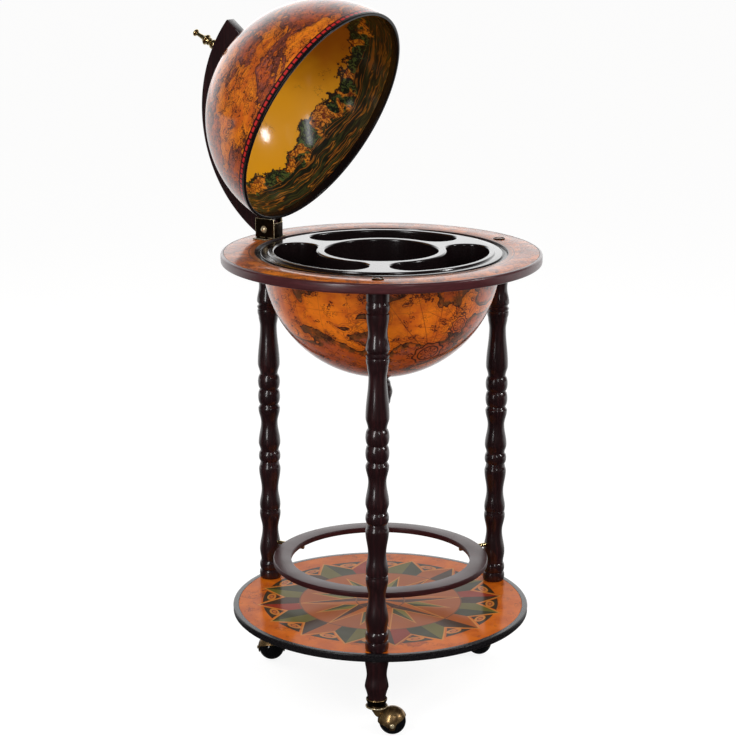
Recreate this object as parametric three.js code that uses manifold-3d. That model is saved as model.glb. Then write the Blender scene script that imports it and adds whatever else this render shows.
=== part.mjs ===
// Floor globe bar, in millimetres, +Z up.
// Three turned legs carry a round table and stand on a round shelf with ball casters below it.
// A bowl, the lower half of a globe, hangs in the table and holds a tray with four wells.
// The upper half is the lid: a curved arm carries it by its pole and tilts back on a bracket.
// The origin is the middle of the shelf's top face. The hinge lies over the leg on the +Y side.

import * as THREE from "three";
import { mergeVertices } from "three/addons/utils/BufferGeometryUtils.js";
import Module from "manifold-3d";

const wasm = await Module();
wasm.setup();

// Facets of the round pieces
const LARGE_FACETS = 48;
const GLOBE_FACETS = 36;
const TURNED_FACETS = 12;
const SMALL_FACETS = 8;
const GLOBE_ARC_STEPS = 8;
const NUT_SIDES = 6;

// Clearances between pieces
const SEAT_GAP = 0.3;
const BOLT_CLEARANCE = 0.4;
const CUT_OVERRUN = 2;

// Angles in degrees
const FULL_TURN = 360;
const HALF_TURN = 180;
const QUARTER_TURN = 90;

// Overall layout
const TABLE_TOP_HEIGHT = 521;
const LEG_COUNT = 3;
const LEG_CIRCLE_OFFSET = 16;
const HINGE_LEG_AZIMUTH = 90;
const GLOBE_RADIUS = 167;
const GLOBE_WALL = 3;

// Table: a printed board with a rebate for the bowl, and a moulded edge band round it
const TABLE_RING_WIDTH = 48;
const TABLE_THICKNESS = 14;
const TABLE_EDGE_WIDTH = 4;
const TABLE_EDGE_ROUNDING = 3;
const TABLE_MOUTH_CLEARANCE = 11;
const TABLE_LEDGE_WIDTH = 8;
const TABLE_REBATE_DEPTH = 6;

// Bowl and its rim ring
const BOWL_CENTRE_DROP = 11;
const BOWL_RIM_THICKNESS = 2.7;
const BOWL_RIM_SKIRT_WALL = 3;
const BOWL_RIM_SKIRT_HEIGHT = 14;
const BOWL_SCREW_HOLE_RADIUS = 2.4;

// Tray: a flange, a raised plateau, a round well and three kidney wells
const TRAY_FLANGE_THICKNESS = 2;
const TRAY_PLATEAU_INSET = 8;
const TRAY_PLATEAU_HEIGHT = 4.6;
const TRAY_WALL = 2.2;
const TRAY_ROUND_WELL_DEPTH = 66;
const TRAY_KIDNEY_INSET = 8;
const TRAY_KIDNEY_WIDTH = 59;
const TRAY_LAND_WIDTH = 12;
const TRAY_KIDNEY_DEPTH = 56;
const TRAY_KIDNEY_HALF_SPAN = 53;
const TRAY_KIDNEY_ARC_STEPS = 9;
const TRAY_KIDNEY_END_STEPS = 4;
const TRAY_ROUND_WELL_FACETS = 30;

// Turned drop under the bowl, as heights below the bowl and radii
const DROP_LENGTH = 54;
const DROP_RADIUS = 16.5;
const DROP_BORE_RADIUS = 2.2;
const DROP_BORE_DEPTH = 22;
const DROP_PROFILE_SHARES = [
  [0, 0.76],
  [0.07, 0.8],
  [0.1, 0.62],
  [0.22, 0.82],
  [0.47, 1],
  [0.72, 0.82],
  [0.84, 0.5],
  [0.94, 0.42],
];
const DROP_SCREW_RADIUS = 1.9;
const DROP_SCREW_HEAD_RADIUS = 5;
const DROP_SCREW_HEAD_HEIGHT = 3;

// Lid: the upper half globe and its lip
const LID_LIP_REST_GAP = 0.5;
const LID_LIP_HEIGHT = 3.2;
const LID_LIP_WIDTH = 6.2;
const LID_LIP_SKIRT_HEIGHT = 9;
const LID_POLE_HOLE_RADIUS = 4.4;
const LID_OPEN_ANGLE = 63.8;

// Arm: half a meridian, sawn from board, with its foot in the hinge bracket
const ARM_THICKNESS = 18;
const ARM_WIDTH = 32.5;
const ARM_GLOBE_GAP = 7;
const ARM_TOP_OVERHANG_ANGLE = 13.2;
const ARM_ARC_STEPS = 16;
const ARM_FOOT_ARC_STEPS = 6;
const ARM_THROAT_RISE = 10;
const ARM_THROAT_BLEND = 26;
const ARM_POLE_HOLE_RADIUS = 3.4;

// Hinge bracket: a base with two cheeks, a web on the globe's side and two screwed ears
const HINGE_ARM_INSET = 18.5;
const HINGE_HEIGHT = 13.5;
const HINGE_FOOT_GAP = 0.4;
const BRACKET_SHEET = 1.8;
const BRACKET_CHEEK_HEIGHT = 29;
const BRACKET_WEB_HEIGHT = 23;
const BRACKET_INNER_REACH = 18;
const BRACKET_OUTER_REACH = 15;
const BRACKET_EAR_LENGTH = 14;
const BRACKET_EAR_WIDTH = 24;
const BRACKET_SCREW_SPACING = 14;
const BRACKET_CHEEK_GAP = 0.35;
const HINGE_BOLT_RADIUS = 3;
const HINGE_BOLT_HEAD_RADIUS = 5.2;
const HINGE_BOLT_HEAD_HEIGHT = 3.2;
const HINGE_NUT_RADIUS = 5.4;
const HINGE_NUT_HEIGHT = 4.4;
const HINGE_BOLT_TIP = 1.2;

// Small wood screws of the bracket
const BRACKET_SCREW_RADIUS = 1.5;
const BRACKET_SCREW_LENGTH = 9;
const BRACKET_SCREW_HEAD_RADIUS = 3.1;
const BRACKET_SCREW_HEAD_HEIGHT = 1.8;

// Finial, its washer, the spacer and the nut that hold the lid's pole
const FINIAL_HEIGHT = 41;
const FINIAL_RADIUS = 8;
const FINIAL_ROD_RADIUS = 3;
const FINIAL_PROFILE_SHARES = [
  [0, 0.62],
  [0.09, 0.66],
  [0.14, 0.46],
  [0.24, 0.5],
  [0.29, 0.9],
  [0.36, 1],
  [0.42, 0.9],
  [0.48, 0.52],
  [0.6, 0.36],
  [0.76, 0.33],
  [0.82, 0.52],
  [0.9, 0.56],
  [0.97, 0.36],
];
const FINIAL_WASHER_RADIUS = 7.6;
const FINIAL_WASHER_THICKNESS = 2;
const POLE_SPACER_RADIUS = 7;
const POLE_WASHER_RADIUS = 9;
const POLE_WASHER_THICKNESS = 1.6;
const POLE_NUT_RADIUS = 5.6;
const POLE_NUT_HEIGHT = 5;

// Legs, turned: heights as shares of the leg, radii as shares of its largest radius
const LEG_RADIUS = 16.5;
const LEG_BORE_RADIUS = 3.4;
const LEG_TOP_BORE_DEPTH = 44;
const LEG_FOOT_BORE_DEPTH = 26;
const LEG_EASE_STEP_SHARE = 0.03;
const LEG_BEAD_STEPS = 3;
const LEG_START_SHARE = 0.93;
const LEG_TURNING_SHARES = [
  { bead: 0.985, height: 0.0256, radius: 0.86 },
  { bead: 0.97, height: 0.0542, radius: 0.86 },
  { height: 0.0888, radius: 0.965 },
  { height: 0.1558, radius: 0.72 },
  { height: 0.205, radius: 0.945 },
  { height: 0.214, radius: 0.82 },
  { height: 0.2278, radius: 0.935 },
  { height: 0.2742, radius: 0.75 },
  { height: 0.3383, radius: 0.976 },
  { height: 0.357, radius: 0.82 },
  { bead: 0.972, height: 0.3935, radius: 0.81 },
  { height: 0.4201, radius: 0.98 },
  { height: 0.4793, radius: 0.75 },
  { height: 0.5197, radius: 0.976 },
  { height: 0.5345, radius: 0.81 },
  { bead: 0.988, height: 0.5789, radius: 0.8 },
  { bead: 0.985, height: 0.6252, radius: 0.78 },
  { height: 0.6607, radius: 0.985 },
  { height: 0.7653, radius: 0.745 },
  { height: 0.8146, radius: 0.97 },
  { height: 0.8264, radius: 0.985 },
  { height: 0.8318, radius: 0.86 },
  { height: 0.8422, radius: 0.995 },
  { height: 0.8856, radius: 0.795 },
  { height: 0.9369, radius: 0.97 },
  { height: 0.9399, radius: 0.89 },
  { bead: 1, height: 0.9671, radius: 0.89 },
  { height: 0.9783, radius: 0.985 },
  { height: 1, radius: 0.985 },
];

// Screws down through the table into the legs, with cover caps
const LEG_SCREW_RADIUS = 2.6;
const LEG_SCREW_LENGTH = 46;
const LEG_SCREW_HEAD_RADIUS = 4.6;
const LEG_SCREW_HEAD_HEIGHT = 3;
const COUNTERBORE_RADIUS = 5.4;
const COUNTERBORE_DEPTH = 4.6;
const CAP_RADIUS = 8.4;
const CAP_HEIGHT = 1.8;
const CAP_RIM_HEIGHT = 0.7;
const CAP_PLUG_HEIGHT = 1;

// Shelf and its edge moulding
const SHELF_OVERHANG = 21;
const SHELF_THICKNESS = 11;
const SHELF_EDGE_WIDTH = 8;
const SHELF_EDGE_CHAMFER = 2.4;
const SHELF_EDGE_ROUNDING = 4;

// Bottle ring and the pins that carry it from the legs
const BOTTLE_RING_HEIGHT = 60.6;
const BOTTLE_RING_THICKNESS = 8;
const BOTTLE_RING_LEG_GAP = 21.5;
const BOTTLE_RING_WIDTH = 26;
const BOTTLE_RING_CHAMFER = 1;
const RING_PIN_RADIUS = 3;
const RING_PIN_INSET = 4;
const RING_PIN_SOCKET_DEPTH = 9;
const RING_PIN_HOLE_RADIUS = 3.5;

// Feet, turned: heights below the shelf as shares of the foot, radii as shares of its largest
const FOOT_HEIGHT = 62.4;
const FOOT_RADIUS = 16.5;
const FOOT_STUD_BORE_DEPTH = 20;
const FOOT_STEM_BORE_RADIUS = 4.5;
const FOOT_STEM_BORE_DEPTH = 27;
const FOOT_PROFILE_SHARES = [
  [0, 0.99],
  [0.12, 1],
  [0.24, 0.93],
  [0.38, 0.84],
  [0.5, 0.89],
  [0.62, 0.985],
  [0.72, 1],
  [0.82, 0.94],
  [0.92, 0.8],
  [1, 0.75],
];
const STUD_RADIUS = 2.8;
const STUD_LEG_REACH = 24;
const STUD_FOOT_REACH = 18;

// Ball casters: cup with its stem, swivelling horn with hood, axle and ball
const CUP_RIM_RADIUS = 14.8;
const CUP_BASE_RADIUS = 15.6;
const CUP_FLOOR_THICKNESS = 10;
const CUP_RIM_HEIGHT = 3;
const CUP_BASE_HEIGHT = 3;
const CUP_STEM_RADIUS = 4;
const CUP_STEM_LENGTH = 26;
const CUP_PIVOT_BORE_RADIUS = 3.6;
const CUP_PIVOT_BORE_DEPTH = 7;
const CASTER_TRAIL = 22;
const BALL_RADIUS = 19;
const BALL_BORE_RADIUS = 2.6;
const BALL_FACETS = 16;
const BALL_ARC_STEPS = 9;
const BALL_CENTRE_DROP = 20.7;
const HORN_PIVOT_RADIUS = 3.2;
const HORN_PIVOT_LENGTH = 6;
const HORN_BOSS_RADIUS = 7;
const HORN_BOSS_HEIGHT = 11;
const HOOD_INNER_RADIUS = 20;
const HOOD_WALL = 1.8;
const HOOD_CROWN_STRETCH_SHARE = 1.03;
const HOOD_FACETS = 14;
const HOOD_RINGS = 8;
const HOOD_EDGE_RISE = 7;
const HOOD_EDGE_TILT = 8;
const HOOD_EAR_TOP_WIDTH = 21;
const HOOD_EAR_BOTTOM_WIDTH = 9;
const HOOD_EAR_DROP = 7.5;
const AXLE_RADIUS = 2;
const AXLE_HOLE_RADIUS = 2.4;
const AXLE_HEAD_RADIUS = 3.4;
const AXLE_HEAD_HEIGHT = 1.3;
const CASTER_AZIMUTHS = [-145, -60, 95];

// Radii and heights worked out from the sizes above
const TABLE_MOUTH_RADIUS = GLOBE_RADIUS + TABLE_MOUTH_CLEARANCE;
const TABLE_LEDGE_RADIUS = TABLE_MOUTH_RADIUS - TABLE_LEDGE_WIDTH;
const TABLE_RADIUS = TABLE_MOUTH_RADIUS + TABLE_RING_WIDTH;
const LEG_CIRCLE_RADIUS = TABLE_MOUTH_RADIUS + LEG_CIRCLE_OFFSET;
const SHELF_EDGE_RADIUS = LEG_CIRCLE_RADIUS + SHELF_OVERHANG;
const SHELF_RADIUS = SHELF_EDGE_RADIUS - SHELF_EDGE_WIDTH;
const BOTTLE_RING_OUTER_RADIUS = LEG_CIRCLE_RADIUS - LEG_RADIUS - BOTTLE_RING_LEG_GAP;
const BOTTLE_RING_INNER_RADIUS = BOTTLE_RING_OUTER_RADIUS - BOTTLE_RING_WIDTH;
const RING_PIN_INNER_END = BOTTLE_RING_INNER_RADIUS + RING_PIN_INSET;
const RING_PIN_OUTER_END = LEG_CIRCLE_RADIUS - LEG_RADIUS + RING_PIN_SOCKET_DEPTH;
const TRAY_PLATEAU_RADIUS = GLOBE_RADIUS - TRAY_PLATEAU_INSET;
const TRAY_KIDNEY_OUTER_RADIUS = TRAY_PLATEAU_RADIUS - TRAY_KIDNEY_INSET;
const TRAY_KIDNEY_INNER_RADIUS = TRAY_KIDNEY_OUTER_RADIUS - TRAY_KIDNEY_WIDTH;
const TRAY_ROUND_WELL_RADIUS = TRAY_KIDNEY_INNER_RADIUS - TRAY_LAND_WIDTH;
const LID_LIP_INNER_RADIUS = GLOBE_RADIUS - LID_LIP_WIDTH;
const ARM_INNER_RADIUS = GLOBE_RADIUS + ARM_GLOBE_GAP;
const ARM_OUTER_RADIUS = ARM_INNER_RADIUS + ARM_WIDTH;
const HINGE_RADIUS = ARM_INNER_RADIUS + HINGE_ARM_INSET;
const TABLE_UNDERSIDE = TABLE_TOP_HEIGHT - TABLE_THICKNESS;
const TABLE_LEDGE = TABLE_TOP_HEIGHT - TABLE_REBATE_DEPTH;
const BOARD_RADIUS = TABLE_RADIUS - TABLE_EDGE_WIDTH;
const BOWL_CENTRE = TABLE_TOP_HEIGHT - BOWL_CENTRE_DROP;
const BOWL_RIM_TOP = TABLE_LEDGE + SEAT_GAP + BOWL_RIM_THICKNESS;
const TRAY_SEAT = BOWL_RIM_TOP + SEAT_GAP;
const TRAY_FLANGE_TOP = TRAY_SEAT + TRAY_FLANGE_THICKNESS;
const TRAY_TOP = TRAY_SEAT + TRAY_PLATEAU_HEIGHT;
const LIP_CLOSED = TRAY_FLANGE_TOP + LID_LIP_REST_GAP;
const SHELL_CLOSED = LIP_CLOSED + LID_LIP_HEIGHT + SEAT_GAP;
const HINGE_Z = TABLE_TOP_HEIGHT + HINGE_HEIGHT;
const FOOT_TOP = -SHELF_THICKNESS - SEAT_GAP;
const CUP_FLOOR_TOP = FOOT_TOP - FOOT_HEIGHT - SEAT_GAP;
const CUP_BOTTOM = CUP_FLOOR_TOP - CUP_FLOOR_THICKNESS;

// Finishes
const map = finish("antique_map_print", 0xc4661a, 0.35, 0);
const mahogany = finish("dark_mahogany_lacquer", 0x2a1013, 0.3, 0);
const blackEdge = finish("black_edge_moulding", 0x1c1a1c, 0.4, 0);
const trayPlastic = finish("tray_plastic", 0x120b0c, 0.25, 0);
const brass = finish("antique_brass", 0x6d5a33, 0.35, 1);
const steel = finish("zinc_plated_steel", 0x8f9194, 0.4, 1);
const ballPlastic = finish("black_ball_plastic", 0x0b0b0d, 0.15, 0);

function finish(name, color, roughness, metalness) {
  return new THREE.MeshStandardMaterial({ name, color, roughness, metalness });
}

function radians(degrees) {
  return THREE.MathUtils.degToRad(degrees);
}

// Points on an arc in a plane, from one angle in degrees to another.
function arcPoints(centreX, centreY, radius, from, to, steps) {
  const points = [];
  for (let i = 0; i <= steps; i += 1) {
    const angle = radians(from + ((to - from) * i) / steps);
    points.push([centreX + radius * Math.cos(angle), centreY + radius * Math.sin(angle)]);
  }
  return points;
}

// Twice the signed area of an outline, positive when it runs anticlockwise.
function signedArea(points) {
  return points.reduce((sum, [x, y], i) => {
    const [nextX, nextY] = points[(i + 1) % points.length];
    return sum + x * nextY - nextX * y;
  }, 0);
}

function shapeOf(points) {
  const ordered = signedArea(points) < 0 ? [...points].reverse() : points;
  return new THREE.Shape(ordered.map(([x, y]) => new THREE.Vector2(x, y)));
}

// A solid of revolution about Z from an outline of [radius, height] points. The outline starts
// and ends on the axis, or goes round a ring and is closed here.
function turned(points, facets) {
  const onAxis = points.some(([radius]) => radius === 0);
  const ordered = signedArea(points) < 0 ? [...points].reverse() : [...points];
  if (onAxis) {
    while (ordered[0][0] !== 0 || ordered[ordered.length - 1][0] !== 0) ordered.push(ordered.shift());
  } else {
    ordered.push(ordered[0]);
  }
  const outline = ordered.map(([radius, height]) => new THREE.Vector2(radius, height));
  return new THREE.LatheGeometry(outline, facets).rotateX(Math.PI / 2);
}

// A solid with a flat outline in X and Y, from one height up to another.
function plate(points, bottom, top) {
  const options = { depth: top - bottom, bevelEnabled: false };
  return new THREE.ExtrudeGeometry(shapeOf(points), options).translate(0, 0, bottom);
}

function box(sizeX, sizeY, sizeZ, x, y, z) {
  return new THREE.BoxGeometry(sizeX, sizeY, sizeZ).translate(x, y, z);
}

// A plain round bar about Z, between two heights.
function rod(radius, bottom, top, facets) {
  return turned([[0, bottom], [radius, bottom], [radius, top], [0, top]], facets);
}

function toSolid(geometry) {
  const bare = geometry.clone();
  bare.deleteAttribute("normal");
  bare.deleteAttribute("uv");
  const merged = mergeVertices(bare);
  const corners = merged.index.array;
  const triangles = [];
  for (let i = 0; i < corners.length; i += 3) {
    const [a, b, c] = corners.slice(i, i + 3);
    if (a !== b && b !== c && c !== a) triangles.push(a, b, c);
  }
  return new wasm.Manifold(new wasm.Mesh({
    numProp: 3,
    vertProperties: new Float32Array(merged.attributes.position.array),
    triVerts: new Uint32Array(triangles),
  }));
}

function toGeometry(solid) {
  const mesh = solid.getMesh();
  const geometry = new THREE.BufferGeometry();
  geometry.setAttribute("position", new THREE.BufferAttribute(mesh.vertProperties, mesh.numProp));
  geometry.setIndex(new THREE.BufferAttribute(mesh.triVerts, 1));
  geometry.computeVertexNormals();
  return geometry;
}

function cut(geometry, tools) {
  return toGeometry(tools.reduce((solid, tool) => solid.subtract(toSolid(tool)), toSolid(geometry)));
}

function join(geometries) {
  return toGeometry(geometries.map(toSolid).reduce((solid, next) => solid.add(next)));
}

function piece(name, geometry, material) {
  const mesh = new THREE.Mesh(geometry, material);
  mesh.name = name;
  return mesh;
}

// Azimuths of the three legs, the hinge leg first.
const legAzimuths = Array.from({ length: LEG_COUNT },
  (_, i) => HINGE_LEG_AZIMUTH + (FULL_TURN * i) / LEG_COUNT);
const legNames = ["hinge_side", "left", "right"];

// Places a geometry, made about the Z axis, on the circle of the legs.
function onLegCircle(geometry, azimuth) {
  const angle = radians(azimuth);
  return geometry.translate(LEG_CIRCLE_RADIUS * Math.cos(angle), LEG_CIRCLE_RADIUS * Math.sin(angle), 0);
}

// A sphere's wall, open at a hole in its pole and at its rim, as a ring outline about Z.
// The rim lies on the side of the sphere's centre that the rise says, and the pole hangs below.
function globeWall(poleHoleRadius, rimRise) {
  const inner = GLOBE_RADIUS - GLOBE_WALL;
  const angleAt = (radius, rise) => THREE.MathUtils.radToDeg(Math.asin(rise / radius));
  const poleAngle = (radius) => THREE.MathUtils.radToDeg(Math.asin(poleHoleRadius / radius)) - QUARTER_TURN;
  const outside = arcPoints(0, 0, GLOBE_RADIUS, poleAngle(GLOBE_RADIUS), angleAt(GLOBE_RADIUS, rimRise),
    GLOBE_ARC_STEPS);
  const inside = arcPoints(0, 0, inner, angleAt(inner, rimRise), poleAngle(inner), GLOBE_ARC_STEPS);
  return turned([...outside, ...inside], GLOBE_FACETS);
}

// Distance to the inside of the globe's faceted wall, square to an offset from its centre
function insideGlobe(offset) {
  const inner = GLOBE_RADIUS - GLOBE_WALL;
  const halfStep = Math.PI / 4 / GLOBE_ARC_STEPS;
  return Math.sqrt(inner ** 2 - offset ** 2) - inner * (1 - Math.cos(halfStep));
}

// Largest radius that is free inside the globe's wall at a rise from its centre
function freeInsideGlobe(rise) {
  return insideGlobe(rise) * Math.cos(Math.PI / GLOBE_FACETS) - SEAT_GAP;
}

// A screw about Z with its head's underside at height 0 and its shank below.
function screw(radius, length, headRadius, headHeight) {
  return turned([
    [0, -length],
    [radius, -length + radius],
    [radius, 0],
    [headRadius, 0],
    [headRadius, headHeight / 2],
    [headRadius / 2, headHeight],
    [0, headHeight],
  ], SMALL_FACETS);
}

// Table board with the rebate, the counterbored leg holes and the bracket's screw holes
function tableBoard() {
  const board = turned([
    [TABLE_LEDGE_RADIUS, TABLE_UNDERSIDE],
    [BOARD_RADIUS, TABLE_UNDERSIDE],
    [BOARD_RADIUS, TABLE_TOP_HEIGHT],
    [TABLE_MOUTH_RADIUS, TABLE_TOP_HEIGHT],
    [TABLE_MOUTH_RADIUS, TABLE_LEDGE],
    [TABLE_LEDGE_RADIUS, TABLE_LEDGE],
  ], LARGE_FACETS);
  const holes = legAzimuths.flatMap((azimuth) => [
    onLegCircle(rod(LEG_SCREW_RADIUS + BOLT_CLEARANCE, TABLE_UNDERSIDE - CUT_OVERRUN,
      TABLE_TOP_HEIGHT + CUT_OVERRUN, SMALL_FACETS), azimuth),
    onLegCircle(rod(COUNTERBORE_RADIUS, TABLE_TOP_HEIGHT - COUNTERBORE_DEPTH,
      TABLE_TOP_HEIGHT + CUT_OVERRUN, SMALL_FACETS), azimuth),
  ]);
  const pilots = bracketScrewPlaces().map(([x, y]) => rod(BRACKET_SCREW_RADIUS + SEAT_GAP,
    TABLE_TOP_HEIGHT + BRACKET_SHEET - BRACKET_SCREW_LENGTH - SEAT_GAP,
    TABLE_TOP_HEIGHT + CUT_OVERRUN, SMALL_FACETS).translate(x, y, 0));
  return cut(board, [...holes, ...pilots]);
}

// Edge band round the table, rounded at its top and bottom
function tableEdge() {
  const inner = BOARD_RADIUS + SEAT_GAP;
  const roundCentre = TABLE_RADIUS - TABLE_EDGE_ROUNDING;
  const low = arcPoints(roundCentre, TABLE_UNDERSIDE + TABLE_EDGE_ROUNDING, TABLE_EDGE_ROUNDING,
    -QUARTER_TURN, 0, 2);
  const high = arcPoints(roundCentre, TABLE_TOP_HEIGHT - TABLE_EDGE_ROUNDING, TABLE_EDGE_ROUNDING,
    0, QUARTER_TURN, 2);
  return turned([[inner, TABLE_UNDERSIDE], ...low, ...high, [inner, TABLE_TOP_HEIGHT]], LARGE_FACETS);
}

// Ring that hangs the bowl: its flange lies in the table's rebate, its skirt inside the bowl's wall
function bowlRim() {
  const flangeBottom = BOWL_RIM_TOP - BOWL_RIM_THICKNESS;
  const skirtOuter = freeInsideGlobe(BOWL_CENTRE - flangeBottom + BOWL_RIM_SKIRT_HEIGHT);
  const skirtInner = skirtOuter - BOWL_RIM_SKIRT_WALL;
  return turned([
    [skirtInner, flangeBottom - BOWL_RIM_SKIRT_HEIGHT],
    [skirtOuter, flangeBottom - BOWL_RIM_SKIRT_HEIGHT],
    [skirtOuter, flangeBottom],
    [TABLE_MOUTH_RADIUS - SEAT_GAP, flangeBottom],
    [TABLE_MOUTH_RADIUS - SEAT_GAP, BOWL_RIM_TOP],
    [skirtInner, BOWL_RIM_TOP],
  ], LARGE_FACETS);
}

function bowl() {
  const rimRise = TABLE_LEDGE - BOWL_CENTRE;
  return globeWall(BOWL_SCREW_HOLE_RADIUS, rimRise).translate(0, 0, BOWL_CENTRE);
}

// Outline of a kidney well, grown outwards by a wall
function kidneyOutline(middleAzimuth, grow) {
  const middleRadius = (TRAY_KIDNEY_INNER_RADIUS + TRAY_KIDNEY_OUTER_RADIUS) / 2;
  const halfWidth = (TRAY_KIDNEY_OUTER_RADIUS - TRAY_KIDNEY_INNER_RADIUS) / 2;
  const endAngle = THREE.MathUtils.radToDeg(Math.asin(halfWidth / middleRadius));
  const from = middleAzimuth - TRAY_KIDNEY_HALF_SPAN + endAngle;
  const to = middleAzimuth + TRAY_KIDNEY_HALF_SPAN - endAngle;
  const end = (azimuth, start) => arcPoints(middleRadius * Math.cos(radians(azimuth)),
    middleRadius * Math.sin(radians(azimuth)), halfWidth + grow, start, start + HALF_TURN,
    TRAY_KIDNEY_END_STEPS).slice(1, -1);
  return [
    ...arcPoints(0, 0, TRAY_KIDNEY_OUTER_RADIUS + grow, from, to, TRAY_KIDNEY_ARC_STEPS),
    ...end(to, to),
    ...arcPoints(0, 0, TRAY_KIDNEY_INNER_RADIUS - grow, to, from, TRAY_KIDNEY_ARC_STEPS),
    ...end(from, from + HALF_TURN),
  ];
}

function circleOutline(radius, facets) {
  return arcPoints(0, 0, radius, 0, FULL_TURN, facets).slice(0, -1);
}

// Tray insert: a plate with a flange, and thin-walled wells that hang below it
function tray() {
  const plateBottom = TRAY_TOP - TRAY_WALL;
  const skin = turned([
    [0, plateBottom],
    [TRAY_PLATEAU_RADIUS - TRAY_WALL, plateBottom],
    [TRAY_PLATEAU_RADIUS - TRAY_WALL, TRAY_SEAT],
    [TABLE_LEDGE_RADIUS, TRAY_SEAT],
    [TABLE_LEDGE_RADIUS, TRAY_FLANGE_TOP],
    [TRAY_PLATEAU_RADIUS, TRAY_FLANGE_TOP],
    [TRAY_PLATEAU_RADIUS, TRAY_TOP],
    [0, TRAY_TOP],
  ], LARGE_FACETS);
  const wells = legAzimuths.map((azimuth) => ({
    outline: (grow) => kidneyOutline(azimuth + HALF_TURN, grow),
    depth: TRAY_KIDNEY_DEPTH,
  }));
  wells.push({
    outline: (grow) => circleOutline(TRAY_ROUND_WELL_RADIUS + grow, TRAY_ROUND_WELL_FACETS),
    depth: TRAY_ROUND_WELL_DEPTH,
  });
  const cups = wells.map(({ outline, depth }) => plate(outline(TRAY_WALL), TRAY_TOP - depth - TRAY_WALL,
    TRAY_TOP - TRAY_WALL / 2));
  const above = TRAY_TOP + CUT_OVERRUN;
  const hollows = wells.map(({ outline, depth }) => plate(outline(0), TRAY_TOP - depth, above));
  return cut(join([skin, ...cups]), hollows);
}

// Turned drop below the bowl, with a blind bore for its screw
function bowlDrop() {
  const top = BOWL_CENTRE - GLOBE_RADIUS - SEAT_GAP;
  const outline = DROP_PROFILE_SHARES.map(([height, radius]) => [
    radius * DROP_RADIUS,
    top - height * DROP_LENGTH,
  ]);
  return turned([
    [0, top - DROP_BORE_DEPTH],
    [DROP_BORE_RADIUS, top - DROP_BORE_DEPTH],
    [DROP_BORE_RADIUS, top],
    ...outline,
    [0, top - DROP_LENGTH],
  ], TURNED_FACETS);
}

function bowlDropScrew() {
  const seat = BOWL_CENTRE - insideGlobe(DROP_SCREW_HEAD_RADIUS) + SEAT_GAP;
  const length = GLOBE_WALL + SEAT_GAP + DROP_BORE_DEPTH - CUT_OVERRUN;
  return screw(DROP_SCREW_RADIUS, length, DROP_SCREW_HEAD_RADIUS, DROP_SCREW_HEAD_HEIGHT).translate(0, 0, seat);
}

// Height of a leg's profile between two rows, eased like a turned cove
function eased(from, to, share) {
  return from + ((to - from) * (1 - Math.cos(Math.PI * share))) / 2;
}

// Outline of a leg from its foot to its top, from the rows of turnings
function legOutline() {
  const height = TABLE_UNDERSIDE - SEAT_GAP - SEAT_GAP;
  const points = [[LEG_START_SHARE * LEG_RADIUS, SEAT_GAP]];
  let last = { height: 0, radius: LEG_START_SHARE };
  for (const row of LEG_TURNING_SHARES) {
    const span = row.height - last.height;
    const steps = row.bead ? LEG_BEAD_STEPS : Math.max(1, Math.round(span / LEG_EASE_STEP_SHARE));
    for (let i = 1; i <= steps; i += 1) {
      const share = i / steps;
      const straight = last.radius + (row.radius - last.radius) * share;
      const bulge = row.bead ? (row.bead - (last.radius + row.radius) / 2) * Math.sin(Math.PI * share) : 0;
      const radius = row.bead ? straight + bulge : eased(last.radius, row.radius, share);
      points.push([radius * LEG_RADIUS, SEAT_GAP + (last.height + span * share) * height]);
    }
    last = row;
  }
  return points;
}

// Leg with a bore at each end and a socket for the bottle ring's pin
function leg(azimuth) {
  const outline = legOutline();
  const top = outline[outline.length - 1][1];
  const bottom = outline[0][1];
  const turning = turned([
    [0, bottom + LEG_FOOT_BORE_DEPTH],
    [LEG_BORE_RADIUS, bottom + LEG_FOOT_BORE_DEPTH],
    [LEG_BORE_RADIUS, bottom],
    ...outline,
    [LEG_BORE_RADIUS, top],
    [LEG_BORE_RADIUS, top - LEG_TOP_BORE_DEPTH],
    [0, top - LEG_TOP_BORE_DEPTH],
  ], TURNED_FACETS);
  const socket = ringPinBar(RING_PIN_HOLE_RADIUS, RING_PIN_INNER_END, RING_PIN_OUTER_END + SEAT_GAP, azimuth);
  return cut(onLegCircle(turning, azimuth), [socket]);
}

// A level bar on a radius of the part, just below the bottle ring
function ringPinBar(radius, innerEnd, outerEnd, azimuth) {
  return rod(radius, innerEnd, outerEnd, SMALL_FACETS)
    .rotateY(Math.PI / 2)
    .rotateZ(radians(azimuth))
    .translate(0, 0, BOTTLE_RING_HEIGHT - SEAT_GAP - RING_PIN_RADIUS);
}

function legScrew() {
  const headSeat = TABLE_TOP_HEIGHT - COUNTERBORE_DEPTH + SEAT_GAP;
  return screw(LEG_SCREW_RADIUS, LEG_SCREW_LENGTH, LEG_SCREW_HEAD_RADIUS, LEG_SCREW_HEAD_HEIGHT)
    .translate(0, 0, headSeat);
}

// Cover cap with a short plug in the counterbore
function screwCap() {
  const seat = TABLE_TOP_HEIGHT + SEAT_GAP;
  return turned([
    [0, seat - CAP_PLUG_HEIGHT],
    [COUNTERBORE_RADIUS - BOLT_CLEARANCE, seat - CAP_PLUG_HEIGHT],
    [COUNTERBORE_RADIUS - BOLT_CLEARANCE, seat],
    [CAP_RADIUS, seat],
    [CAP_RADIUS, seat + CAP_RIM_HEIGHT],
    [CAP_RADIUS - CAP_HEIGHT, seat + CAP_HEIGHT],
    [0, seat + CAP_HEIGHT],
  ], TURNED_FACETS);
}

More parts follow.
